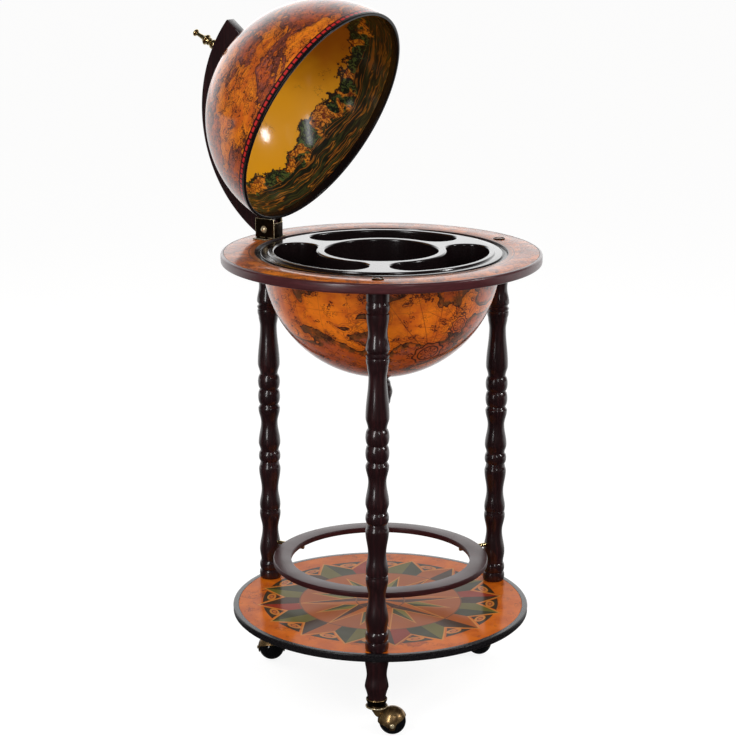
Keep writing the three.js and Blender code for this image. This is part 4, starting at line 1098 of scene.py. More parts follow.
@dataclass(frozen=True)
class Finishes:
    """Every material of the bar, made once."""

    mahogany: Material = made(Lacquer("dark_mahogany_lacquer", "#1a090b", "#3a1618", gloss=0.15))
    maroon: Material = made(Lacquer("maroon_lacquer", "#3a171a", "#57282c", run=ROUND_EDGE, gloss=0.24, coat=0.7))
    hoop: Material = made(Lacquer("hoop_lacquer", "#2c0f11", "#421819", run=ROUND_EDGE, gloss=0.2, coat=0.12))
    edge: Material = made(Moulded("black_edge_moulding", "#121012", "#1f1c1d", gloss=0.26, gleam=0.3))
    lip: Material = made(Moulded("black_lip_plastic", "#0c0a0b", "#151314", gloss=0.2, gleam=0.22))
    tray: Material = made(Moulded("black_brown_tray_plastic", "#0f090a", "#1d1415", gloss=0.15, gleam=0.36, coat=0.28))
    brass: Material = made(Metal("antique_brass_plate", "#d2bd8a", "#5c4c2c", cover=0.44, shine=0.17))
    bronze: Material = made(Metal("dark_bronze_plate", "#3c2e1e", "#20170e", patch_mm=9.0, shine=0.3))
    hood: Material = made(Metal("bronzed_hood_plate", "#a08258", "#58432c", patch_mm=12.0, cover=0.48, bare=0.86))
    # Pale rubbed bronze: partly real wear, partly a painted highlight on rounded edges and the caster cup's outer ring,
    # in place of light from the floor.
    worn: Material = made(Metal("rubbed_bronze_and_painted_highlight", "#e6d6b4", "#a08a62", patch_mm=3.0, shine=0.2, bare=0.7))
    steel: Material = made(Metal("zinc_plated_steel", "#a9abae", "#7c7e80", patch_mm=2.0))
    ball: Material = made(Moulded("black_phenolic_ball", "#08080a", "#121214", gloss=0.08))
    cap: Material = made(Moulded("brown_cap_plastic", "#5c3216", "#6e4420", gloss=0.2))
    ring_print: Material = made(RingPrint(
        "ring_board_print", centre=Vector((0.0, 0.0, TABLE_TOP)), sea="#cf6f28", deep="#b65a1c", land="#a34e1e",
        plum="#8c4a30", shade="#70381e", size=6.0, drift=(3.0, 1.0, 0.0), faded=0.3, busy=0.9, coat=0.5,
    ))
    shelf_print: Material = made(ShelfPrint(
        "shelf_print", sea="#cb6612", deep="#b65510", land="#aa4c14", plum="#aa4c14", shade="#8a3f12",
        shore=0.62, size=1.6, drift=(0.4, 5.0, 0.0), faded=0.7, busy=0.3, coat=0.2,
    ))
    # Painted light: the bowl's sea is a little lighter than the lid's, to make up for the table's shade over the bowl.
    bowl_print: Material = made(GlobePrint(
        "bowl_map_print", centre=Vector((0.0, 0.0, BOWL_CENTRE)), drift=(1.2, 0.3, 0.2), pole=-1.0, sea="#d86e0a",
        deep="#b9520d", land="#a8481c", plum="#914a38", shade="#4e3416", size=1.9, stretch=1.2, ragged=0.45,
        relief=True, rosettes=((-104.0, -0.42, 15.0), (-118.0, -0.66, 23.0)),
    ))
    lid_print: Material = made(GlobePrint(
        "lid_map_print", centre=LID_CENTRE, tilt=-OPEN_ANGLE, drift=(4.0, 2.0, 1.0), rim=True, size=2.3,
        shore=0.5, sea="#c96d0d", deep="#ac4e0e", land="#98411b", plum="#7c4136", shade="#542a22", busy=0.95,
        stretch=1.7, relief=True, rosettes=((-120.0, 0.75, 22.0),),
    ))
    dome: Material = made(DomePainting("dome_painting", gloss=0.15))


# Sub-assemblies


@dataclass
class Table:
    """Ring board with its edge band and two screw caps, in millimetres."""

    finish: Finishes
    underside: float = 507.0
    outer: float = 226.0
    band: float = 3.7
    mouth: float = 178.0
    ledge_radius: float = 170.0
    ledge: float = 515.0
    rounding: float = 3.0
    cap_radius: float = 8.4
    facets: int = 192

    def build(self) -> None:
        """Model and dress every piece of the table."""
        settle(self.board(), "frame", "map_print", "table_board")
        settle(self.edge_band(), "frame", "mahogany", "table_edge")
        self.caps()

    def board(self) -> Piece:
        """Turn the ring board with the rebate for the bowl."""
        rim = self.outer - self.band - SEAT
        outline = [
            (self.ledge_radius, self.underside), (rim, self.underside), (rim, TABLE_TOP),
            (self.mouth, TABLE_TOP), (self.mouth, self.ledge), (self.ledge_radius, self.ledge),
        ]
        board = coat(turn("ring_board", outline, self.facets), self.finish.ring_print, self.finish.mahogany)
        recoat(board, 1, lambda place, normal: abs(normal.z) < 0.5 or place.z < TABLE_TOP - 1.0)
        return round_edges(board, 0.5, 2)

    def edge_band(self) -> Piece:
        """Turn the moulded band round the board."""
        inner, bend, r = self.outer - self.band, self.outer - self.rounding, self.rounding
        outline = [
            (inner, self.underside), *arc((bend, self.underside + r), r, -90.0, 0.0, 6),
            *arc((bend, TABLE_TOP - r), r, 0.0, 90.0, 6), (inner, TABLE_TOP),
        ]
        return coat(turn("edge_band", outline, self.facets), self.finish.maroon)

    def caps(self) -> None:
        """Turn one screw cap, an eyelet with a low button in it, and copy it to the other leg."""
        seat = TABLE_TOP + SEAT
        outline = [
            (0.0, seat), (self.cap_radius, seat),
            *arc((self.cap_radius - 0.9, seat + 0.5), 0.9, 0.0, 130.0, 6),
            (self.cap_radius - 2.5, seat + 0.4),
            *arc((0.0, seat - 11.3), 13.0, 64.0, 90.0, 6)[:-1],
            (0.0, seat + 1.7),
        ]
        cap = coat(turn("screw_cap", outline, 48), self.finish.bronze, self.finish.cap)
        recoat(cap, 1, lambda place, normal: math.hypot(place.x, place.y) < self.cap_radius - 2.6 and normal.z > 0.2)
        other = copied(cap, "screw_cap_on_right_leg", at_leg(LEG_AZIMUTHS["right"]))
        moved(cap, at_leg(LEG_AZIMUTHS["left"]))
        settle(cap, "frame", "antique_brass", "screw_cap_left")
        settle(other, "frame", "antique_brass", "screw_cap_right")


@dataclass
class Bowl:
    """Lower half of the globe with its rim ring, tray and turned drop, in millimetres."""

    finish: Finishes
    wall: float = 3.0
    rim_top: float = 518.0
    rim_under: float = 515.3
    rim_bottom: float = 501.4
    rim_inner: float = 154.5
    rim_skirt: float = 3.0
    rim_outer: float = 177.7
    flange: float = 170.0
    tray_seat: float = 518.3
    flange_top: float = 520.3
    tray_top: float = 522.9
    plateau: float = 159.0
    round_well: float = 80.0
    round_depth: float = 66.0
    kidney_inner: float = 92.0
    kidney_outer: float = 151.0
    kidney_span: float = 53.0
    kidney_depth: float = 56.0
    lip: float = 2.6
    draft: float = 1.2
    fillet: float = 5.0
    skin: float = 1.4
    drop: tuple[Row, ...] = (
        Row(288.9, 6.0), Row(291.5, 8.4, Cut.ROUND), Row(296.0, 10.6), Row(302.5, 13.6), Row(317.0, 16.5),
        Row(331.0, 13.4), Row(336.5, 10.4), Row(337.6, 11.2, Cut.LINE), Row(342.6, 11.6, Cut.BEAD, 13.2),
    )
    facets: int = 160

    def build(self) -> None:
        """Model and dress every piece of the bowl."""
        settle(self.shell(), "frame", "globe_print", "bowl")
        settle(self.rim_ring(), "frame", "mahogany", "bowl_rim")
        settle(self.tray(), "frame", "tray_black", "tray", angle=50.0)
        top = self.drop[-1]
        drop = turn("turned_drop", [(0.0, self.drop[0].height), *profile(self.drop), (0.0, top.height)], 56)
        settle(coat(drop, self.finish.mahogany), "frame", "mahogany", "bowl_drop")

    def shell(self) -> Piece:
        """Turn the half globe with its wall."""
        rim, inside = self.rim_under - SEAT, GLOBE_RADIUS - self.wall
        top, inner = (math.degrees(math.asin((rim - BOWL_CENTRE) / radius)) for radius in (GLOBE_RADIUS, inside))
        outline = arc((0.0, BOWL_CENTRE), GLOBE_RADIUS, -90.0, top, 48)
        outline += arc((0.0, BOWL_CENTRE), inside, inner, -90.0, 32)
        outline[0] = (0.0, outline[0][1])
        outline[-1] = (0.0, outline[-1][1])
        return coat(turn("bowl_shell", outline, self.facets), self.finish.bowl_print)

    def rim_ring(self) -> Piece:
        """Turn the ring that hangs the bowl in the table."""
        top, inner, skirt = self.rim_top, self.rim_inner, self.rim_inner + self.rim_skirt
        outline = [
            (inner, self.rim_bottom), (skirt, self.rim_bottom), (skirt, self.rim_under),
            (self.rim_outer, self.rim_under), *arc((self.rim_outer - 1.0, top - 1.0), 1.0, 0.0, 90.0, 4),
            (173.4, top), (172.8, top - 0.7), (171.6, top - 0.7), (171.0, top), (inner, top),
        ]
        return coat(turn("bowl_rim_ring", outline, self.facets), self.finish.lip)

    def well_edge(self, depth: float) -> Outline:
        """Give a well's section: flat land, rounded lip, wall with draft and filleted floor.

        Args:
            depth: the well's depth.

        Returns:
            Pairs of distance outside the well's edge and height.
        """
        top, low, r = self.tray_top, self.tray_top - depth, self.fillet
        return [
            (self.lip + 0.9, top), *arc((self.lip, top - self.lip), self.lip, 90.0, 180.0, 8), (-self.draft, low + r),
            *arc((-self.draft - r, low + r), r, 0.0, -90.0, 6)[1:], (-2 * self.draft - r, low),
        ]

    def kidney(self, name: str, azimuth: float) -> Piece:
        """Sweep a kidney well: along its outer side, round one end, back along the inner side, round.

        Args:
            name: name of the new object.
            azimuth: azimuth of its middle in degrees.

        Returns:
            The well's skin, open at its top.
        """
        middle = (self.kidney_inner + self.kidney_outer) / 2
        half = (self.kidney_outer - self.kidney_inner) / 2
        turned = self.kidney_span - math.degrees(math.asin(half / middle))
        section = [Vector((self.kidney_outer + out, 0.0, height)) for out, height in self.well_edge(self.kidney_depth)]
        start, end = about(azimuth - turned), about(azimuth + turned)
        well = chain(name, [start @ point for point in section])
        with edit(well):
            for angle, side in ((2 * turned, end), (-2 * turned, start)):
                sweep(Vector(), UP, angle, 40)
                sweep(side @ Vector((middle, 0.0, 0.0)), UP, 180.0, 28)
            close_up()
            self.floor(well, self.kidney_depth)
        return well

    def floor(self, well: Piece, depth: float) -> None:
        """Fill a well's floor in edit mode."""
        level = self.tray_top - depth
        pick_where(well, Pick.EDGES, lambda place, _: abs(place.z - level) < 0.05, rim=True)
        bpy.ops.mesh.edge_face_add()

    def tray(self) -> Piece:
        """Sweep the wells and the flange, fill the plateau between them and give the skin its wall."""
        section = [(self.round_well + out, height) for out, height in self.well_edge(self.round_depth)]
        well = turn("tray", section, self.facets, closed=False)
        with edit(well):
            self.floor(well, self.round_depth)
        r = 0.8
        flange = [
            (self.flange, self.tray_seat + r / 2), (self.flange, self.flange_top - r),
            *arc((self.flange - r, self.flange_top - r), r, 0.0, 90.0, 4)[1:], (self.plateau + 2.0, self.flange_top),
            *arc((self.plateau + 1.2, self.flange_top + r), r, -90.0, -180.0, 4)[1:],
            *arc((self.plateau - 1.2, self.tray_top - 1.2), 1.2, 0.0, 90.0, 5)[1:], (self.plateau - 2.4, self.tray_top),
        ]
        rim = turn("tray_flange", flange, self.facets, closed=False)
        kidneys = [self.kidney(f"kidney_well_{side}", azimuth + 180.0) for side, azimuth in LEG_AZIMUTHS.items()]
        tray = joined("tray_insert", [well, rim, *kidneys])
        with edit(tray):
            pick_where(tray, Pick.EDGES, lambda place, _: abs(place.z - self.tray_top) < 0.02, rim=True)
            bpy.ops.mesh.fill()
            close_up()
        if max(tray.data.polygons, key=lambda face: face.center.z).normal.z < 0.0:
            with edit(tray):
                bpy.ops.mesh.flip_normals()
        modify(tray, "SOLIDIFY", thickness=self.skin, offset=-1.0)
        return coat(tray, self.finish.tray)


@dataclass
class Lid:
    """Upper half of the globe, its lip, the arm, the finial and the hinge, in millimetres.

    Everything but the hinge is made as if the lid were closed and is then tilted back.
    """

    finish: Finishes
    radius: float = 166.7
    wall: float = 3.0
    lip_bottom: float = 520.8
    lip_height: float = 3.2
    lip_inner: float = 162.2
    arm_inner: float = 174.0
    arm_outer: float = 206.5
    arm_thickness: float = 18.0
    overhang: float = 13.2
    foot_radius: float = 11.0
    throat: float = 15.9
    throat_rise: float = 10.0
    blend: float = 39.5
    pole_hole: float = 4.4
    rod: float = 3.0
    rod_end: float = 156.2
    finial_seat: float = 2.6
    washer: float = 6.9
    spacer: float = 7.0
    spacer_gap: float = 0.4
    finial_rows: tuple[Row, ...] = (
        Row(0.0, 6.4), Row(1.2, 7.2, Cut.ROUND), Row(3.4, 7.1), Row(6.6, 5.0), Row(8.6, 4.6),
        Row(11.6, 4.6, Cut.BEAD, 5.9), Row(13.0, 5.0), Row(14.6, 7.6, Cut.LINE), Row(17.4, 6.8, Cut.BEAD, 8.0),
        Row(19.4, 5.6), Row(22.4, 3.4), Row(32.2, 2.7), Row(34.0, 2.9), Row(40.2, 1.2, Cut.BEAD, 5.4),
    )
    sheet: float = 1.8
    cheek_height: float = 29.0
    web_height: float = 23.0
    reach_in: float = 18.0
    reach_out: float = 15.0
    ear: float = 14.0
    ear_width: float = 24.0
    bolt_radius: float = 3.0
    nut_height: float = 4.4
    nut_radius: float = 5.4
    screw_radius: float = 1.5
    screw_head: float = 3.1
    screw_length: float = 9.0
    screw_pitch: float = 14.0
    slot: float = 0.7
    facets: int = 160

    def build(self) -> None:
        """Model and dress every piece of the lid and its hinge."""
        settle(moved(self.shell(), tilt_back()), "lid", "globe_print", "lid_shell")
        settle(moved(self.lip_ring(), tilt_back()), "lid", "dark_edge", "lid_lip")
        settle(moved(self.arm(), tilt_back()), "arm", "mahogany", "lid_arm")
        self.pole_fittings()
        settle(self.bracket(), "frame", "antique_brass", "hinge_bracket")
        self.bolt()
        self.screws()

    def shell(self) -> Piece:
        """Turn the half globe, printed outside and painted inside."""
        rim = self.lip_bottom + self.lip_height + SEAT - TABLE_TOP
        inside = self.radius - self.wall
        outline = []
        for radius, up in ((self.radius, True), (inside, False)):
            low, high = math.degrees(math.asin(rim / radius)), math.degrees(math.acos(self.pole_hole / radius))
            outline += arc((0.0, TABLE_TOP), radius, low if up else high, high if up else low, 44)
        shell = coat(turn("lid_dome", outline, self.facets), self.finish.lid_print, self.finish.dome)
        middle = Vector((0.0, 0.0, TABLE_TOP))
        return recoat(shell, 1, lambda place, _: (place - middle).length < self.radius - self.wall / 2)

    def lip_ring(self) -> Piece:
        """Turn the lip ring with its skirt inside the shell."""
        bottom = self.lip_bottom
        shoulder = bottom + self.lip_height
        skirt = self.radius - self.wall - 0.2
        outline = [
            (self.lip_inner + 1.6, bottom),
            *arc((self.radius - 1.3, bottom + 1.3), 1.3, -90.0, 0.0, 5),
            *arc((self.radius - 0.7, shoulder - 0.7), 0.7, 0.0, 90.0, 3),
            (skirt, shoulder), (skirt, shoulder + 8.4),
            *arc((self.lip_inner + 0.8, shoulder + 8.0), 0.8, 90.0, 180.0, 3),
            *arc((self.lip_inner + 1.6, bottom + 1.6), 1.6, 180.0, 260.0, 5),
        ]
        return coat(turn("lid_lip_ring", outline, self.facets), self.finish.lip)

    def arm_outline(self) -> Outline:
        """Give the arm's outline, closed lid, as distance out from the lid's axis and height."""
        pivot = Vector((HINGE.y, HINGE.z))
        middle = Vector((0.0, TABLE_TOP))
        heel = OPEN_ANGLE - 90.0
        lean = Vector((math.cos(math.radians(heel)), math.sin(math.radians(heel))))
        toe = pivot + lean * self.foot_radius - middle
        along = toe.dot(Vector((-lean.y, lean.x)))
        reach = math.sqrt(along**2 - toe.length_squared + self.arm_outer**2) - along
        back = toe + Vector((-lean.y, lean.x)) * reach
        top = 90.0 + self.overhang
        throat_turn = math.degrees(math.asin(self.foot_radius / self.throat))
        return [
            *arc(tuple(pivot), self.foot_radius, -90.0, heel, 10),
            *arc(tuple(middle), self.arm_outer, math.degrees(math.atan2(back.y, back.x)), top, 64),
            *arc(tuple(middle), self.arm_inner, top, math.degrees(math.asin(self.blend / self.arm_inner)), 64),
            (pivot.x - self.throat, pivot.y + self.throat_rise),
            *arc(tuple(pivot), self.throat, 180.0, 180.0 + throat_turn, 8),
        ]

    def arm(self) -> Piece:
        """Saw the arm from a board, bore it for the bolt and the rod, and round its edges."""
        thickness = self.arm_thickness
        start = Vector((-thickness / 2, 0.0, 0.0))
        arm = board("curved_arm", self.arm_outline(), start, Vector((thickness, 0.0, 0.0)))
        round_edges(coat(arm, self.finish.mahogany), 1.2, 3)
        drilled(arm, self.bolt_radius + BORE_GAP, -thickness, thickness, 32, along_hinge())
        low, high = TABLE_TOP + self.arm_inner - thickness, TABLE_TOP + self.arm_outer + thickness
        return drilled(arm, self.rod + BORE_GAP, low, high, 32)

    def pole_fittings(self) -> None:
        """Turn the finial with its rod, the washer under it and the spacer between lid and arm."""
        base = TABLE_TOP + self.arm_outer + self.finial_seat
        top = self.finial_rows[-1].height + 0.1
        rod_end = TABLE_TOP + self.rod_end
        outline = [(0.0, rod_end), (self.rod, rod_end), (self.rod, base)]
        outline += [(radius, base + height) for radius, height in profile(self.finial_rows, 1.0)]
        finial = turn("finial_with_rod", [*outline, (0.0, base + top)], 48)
        bore, seat, out = self.rod + SEAT, base - 2.3, self.washer
        washer = turn("finial_washer_disc", [
            (bore, seat), *arc((out, seat + 0.7), 0.7, -90.0, 0.0, 3),
            *arc((out - 0.3, seat + 1.0), 1.0, 0.0, 90.0, 4), (bore, seat + 2.0),
        ], 48)
        low, high = TABLE_TOP + self.radius + SEAT, TABLE_TOP + self.arm_inner - self.spacer_gap
        edge, out = self.spacer - 0.6, self.spacer
        spacer = turn("spacer_sleeve", [
            (bore, low), (edge, low), (out, low + 0.6), (edge - 0.2, (low + high) / 2),
            (out, high - 0.6), (edge, high), (bore, high),
        ], 40)
        for piece, node in ((finial, "finial"), (washer, "finial_washer"), (spacer, "pole_spacer")):
            settle(moved(coat(piece, self.finish.brass), tilt_back()), "arm", "antique_brass", node)

    def bracket(self) -> Piece:
        """Fold the bracket: web and cheeks drawn up from one line, ears folded out, base let in."""
        half = self.sheet / 2
        base = TABLE_TOP + SEAT + half
        cheek = self.arm_thickness / 2 + CHEEK_GAP + half
        near, far = HINGE.y - self.reach_in + half, HINGE.y + self.reach_out
        middle = HINGE.y + (self.reach_out - self.reach_in) / 2
        ear_near, ear_far = middle - self.ear_width / 2, middle + self.ear_width / 2
        plan = [
            (-cheek, far), (-cheek, ear_far), (-cheek, ear_near), (-cheek, near),
            (cheek, near), (cheek, ear_near), (cheek, ear_far), (cheek, far),
        ]
        bracket = chain("folded_bracket", [Vector((x, y, base)) for x, y in plan])
        web, rest = self.web_height - half, self.cheek_height - self.web_height
        with edit(bracket, Pick.EDGES):
            draw_out(UP * web)
            pick_where(bracket, Pick.EDGES, lambda place, _: place.z > base + web - 0.1 and abs(place.x) > cheek - 0.1)
            draw_out(UP * rest)
            for side in (-1.0, 1.0):
                pick_where(bracket, Pick.EDGES, lambda place, _, side=side: abs(place.z - base) < 0.1
                           and abs(place.x - side * cheek) < 0.1 and abs(place.y - middle) < 1.0)
                draw_out(Vector((side * (self.ear + half), 0.0, 0.0)))
            close_up()
        modify(bracket, "SOLIDIFY", thickness=self.sheet, offset=0.0, use_even_offset=True)
        inner, low, high = cheek - half - 0.02, base - half, base + half
        outline = [(-inner, low), (inner, low), (inner, high), (-inner, high)]
        start, depth = Vector((0.0, near + half, 0.0)), Vector((0.0, far - near - half, 0.0))
        floor = board("bracket_base", outline, start, depth)
        for piece in (bracket, floor):
            coat(piece, self.finish.bronze, self.finish.worn)
        round_edges(floor, 0.3, 2)
        # The rounded edges get the pale rubbed bronze: partly wear, partly a painted highlight.
        return joined("folded_bracket", [round_edges(bracket, 0.8, 2, slot=1), floor])

    def bolt(self) -> None:
        """Turn the hinge bolt with its domed head and the nut on its other end."""
        face = self.arm_thickness / 2 + CHEEK_GAP + self.sheet + SEAT
        shank, tip = self.bolt_radius, face + self.nut_height + 1.2
        bolt = turn("domed_bolt", [
            (0.0, -face - 3.2), *arc((0.0, -face + 2.6), 5.8, -90.0, -27.0, 8)[1:], (5.2, -face),
            (shank, -face), (shank, tip - 0.5), (shank - 0.5, tip), (0.0, tip),
        ], 40)
        top, out = face + self.nut_height, self.nut_radius
        nut = turn("hexagon_nut", [(shank + SEAT, face), (out, face), (out, top), (shank + SEAT, top)], 6)
        low, out, top = face - 1.0, out + 0.2, top + 0.2
        outline = [(0.0, low), (out, low), (out, top - 0.9), (out - 1.3, top), (0.0, top)]
        cut_by(nut, turn("nut_chamfer", outline, 32), keep=True)
        for piece, finish, node in ((bolt, self.finish.worn, "hinge_bolt"), (nut, self.finish.steel, "hinge_nut")):
            settle(moved(coat(piece, finish), along_hinge()), "frame", "steel", node)

    def screws(self) -> None:
        """Turn one slotted screw and copy it to the four corners of the ears."""
        seat = TABLE_TOP + SEAT + self.sheet + SEAT
        r = self.screw_radius
        screw = turn("bracket_screw", [
            (0.0, seat - self.screw_length), (r, seat - self.screw_length + r), (r, seat), (self.screw_head, seat),
            *arc((0.0, seat - 2.1), 3.9, 37.0, 90.0, 6)[:-1], (0.0, seat + 1.8),
        ], 32)
        outline = [(-4.0, seat + 1.0), (4.0, seat + 1.0), (4.0, seat + 3.0), (-4.0, seat + 3.0)]
        slot = board("screw_slot", outline, Vector((0.0, -self.slot / 2, 0.0)), Vector((0.0, self.slot, 0.0)))
        coat(cut_by(screw, slot), self.finish.bronze)
        x = self.arm_thickness / 2 + CHEEK_GAP + self.sheet + self.ear / 2
        middle, half = HINGE.y + (self.reach_out - self.reach_in) / 2, self.screw_pitch / 2
        near, far = middle - half, middle + half
        places = ((x, far, 15.0), (x, near, 70.0), (-x, far, -35.0), (-x, near, 100.0))
        for i, (across, out, turned) in enumerate(places, 1):
            matrix = shift(across, out, 0.0) @ about(turned)
            settle(copied(screw, f"bracket_screw_head_{i}", matrix), "frame", "antique_brass", f"bracket_screw_{i}")
        discard(screw)


@dataclass
class Legs:
    """Three turned legs and three turned feet, in millimetres."""

    finish: Finishes
    bore: float = 3.4
    stem_bore: float = 4.5
    leg_depths: tuple[float, float] = (26.0, 44.0)
    foot_depths: tuple[float, float] = (27.0, 20.0)
    leg_rows: tuple[Row, ...] = (
        Row(0.3, 15.2), Row(13.0, 15.5, Cut.BEAD, 16.4), Row(13.8, 14.3, Cut.LINE), Row(14.7, 15.0, Cut.LINE),
        Row(26.9, 15.0, Cut.BEAD, 16.1), Row(28.2, 14.0, Cut.LINE), Row(45.0, 15.95), Row(78.0, 11.85),
        Row(103.0, 15.6), Row(107.6, 15.0), Row(108.6, 13.8, Cut.LINE), Row(109.8, 15.0, Cut.LINE),
        Row(115.5, 15.45), Row(140.0, 12.45), Row(172.0, 16.1), Row(180.5, 14.2), Row(183.0, 13.6, Cut.LINE),
        Row(199.5, 13.5, Cut.BEAD, 16.1), Row(212.0, 16.2), Row(243.0, 12.4), Row(264.8, 16.1),
        Row(271.0, 13.4), Row(294.0, 13.3, Cut.BEAD, 16.3), Row(317.0, 13.0, Cut.BEAD, 16.3),
        Row(333.0, 16.25), Row(389.0, 12.3), Row(405.0, 14.4), Row(409.0, 15.7, Cut.LINE),
        Row(413.5, 15.9, Cut.LINE), Row(415.0, 15.2), Row(419.0, 16.35), Row(421.8, 14.2, Cut.LINE),
        Row(427.0, 16.4), Row(449.0, 13.2), Row(474.8, 16.0), Row(476.0, 14.7, Cut.LINE),
        Row(477.2, 14.9, Cut.LINE), Row(490.3, 14.9, Cut.BEAD, 16.5), Row(491.3, 14.7, Cut.LINE),
        Row(492.4, 16.2, Cut.LINE), Row(506.7, 16.25, Cut.LINE),
    )
    foot_rows: tuple[Row, ...] = (
        Row(-73.7, 12.3), Row(-54.0, 16.6, Cut.ROUND), Row(-36.0, 14.0), Row(-14.0, 16.6), Row(-11.3, 16.2),
    )
    facets: int = 72

    def build(self) -> None:
        """Turn one leg and one foot and copy them under the table's three legs."""
        leg = self.post("turned_leg", self.leg_rows, self.bore, self.leg_depths)
        foot = self.post("turned_foot", self.foot_rows, self.stem_bore, self.foot_depths)
        for side, azimuth in LEG_AZIMUTHS.items():
            for piece, node in ((leg, f"leg_{side}"), (foot, f"foot_{side}")):
                copy = copied(piece, f"{piece.name}_{side}", at_leg(azimuth) @ about(azimuth))
                settle(copy, "frame", "mahogany", node)
        discard(leg, foot)

    def post(self, name: str, rows: tuple[Row, ...], low_bore: float, depths: tuple[float, float]) -> Piece:
        """Turn a post with a bore in each end.

        Args:
            name: name of the new object.
            rows: its outside.
            low_bore: radius of the bore in its lower end.
            depths: depth of the lower bore and of the top one.

        Returns:
            The post about the Z axis.
        """
        low, top = rows[0].height, rows[-1].height
        floor, roof = low + depths[0], top - depths[1]
        outline = [(0.0, floor), (low_bore, floor), (low_bore, low), *profile(rows)]
        outline += [(self.bore, top), (self.bore, roof), (0.0, roof)]
        return coat(turn(name, outline, self.facets), self.finish.mahogany)


@dataclass
class Shelf:
    """Round shelf with its edge moulding, the bottle ring and its three pins, in millimetres."""

    finish: Finishes
    thickness: float = 11.0
    radius: float = 207.0
    outer: float = 215.0
    ring_inner: float = 130.0
    ring_outer: float = 156.0
    ring_bottom: float = 60.6
    ring_height: float = 8.0
    ring_round: float = 1.6
    pin_radius: float = 3.0
    pin_start: float = 134.0
    pin_end: float = 186.5
    facets: int = 192

    def build(self) -> None:
        """Model and dress every piece of the shelf."""
        low = -self.thickness
        shelf = turn("shelf_board", [
            (0.0, low), (self.radius - 0.6, low), (self.radius, low + 0.6), (self.radius, -0.4),
            (self.radius - 0.4, 0.0), (0.0, 0.0),
        ], self.facets)
        coat(shelf, self.finish.shelf_print, self.finish.mahogany)
        settle(recoat(shelf, 1, lambda place, normal: normal.z < 0.5), "frame", "map_print", "shelf")
        settle(self.edge_moulding(), "frame", "dark_edge", "shelf_edge")
        r = self.ring_round
        inner, outer = self.ring_inner + r, self.ring_outer - r
        low, top = self.ring_bottom + r, self.ring_bottom + self.ring_height - r
        ring = turn("bottle_ring_hoop", [
            *arc((inner, low), r, 180.0, 270.0, 4), *arc((outer, low), r, -90.0, 0.0, 4),
            *arc((outer, top), r, 0.0, 90.0, 4), *arc((inner, top), r, 90.0, 180.0, 4)[:-1], (self.ring_inner, top),
        ], 160)
        settle(coat(ring, self.finish.hoop), "frame", "mahogany", "bottle_ring")
        self.pins()

    def edge_moulding(self) -> Piece:
        """Turn the moulding round the shelf, with a thin lip at its top."""
        low = -self.thickness
        inner = self.radius + SEAT
        out, groove = self.outer - 0.2, self.outer - 0.9
        outline = [
            (inner, low), (self.outer - 2.4, low), (out - 0.2, low + 2.0), (out, low + 2.6), (out, -3.6),
            (groove, -3.2), (groove, -2.8), *arc((self.outer - 1.8, -1.8), 1.8, -20.0, 90.0, 6), (inner, 0.0),
        ]
        return coat(turn("shelf_moulding", outline, self.facets), self.finish.edge)

    def pins(self) -> None:
        """Turn one pin and copy it between the bottle ring and each leg."""
        length = self.pin_end - self.pin_start
        radius = self.pin_radius
        pin = turn("ring_pin", [
            (0.0, 0.0), *arc((radius - 0.8, 0.8), 0.8, -90.0, 0.0, 3),
            (radius, length - 0.6), (radius - 0.6, length), (0.0, length),
        ], 32)
        coat(pin, self.finish.brass)
        for side, azimuth in LEG_AZIMUTHS.items():
            lay = about(azimuth) @ shift(self.pin_start, 0.0, self.ring_bottom - SEAT - radius) @ about(90.0, "Y")
            settle(copied(pin, f"ring_pin_rod_{side}", lay), "frame", "antique_brass", f"ring_pin_{side}")
        discard(pin)


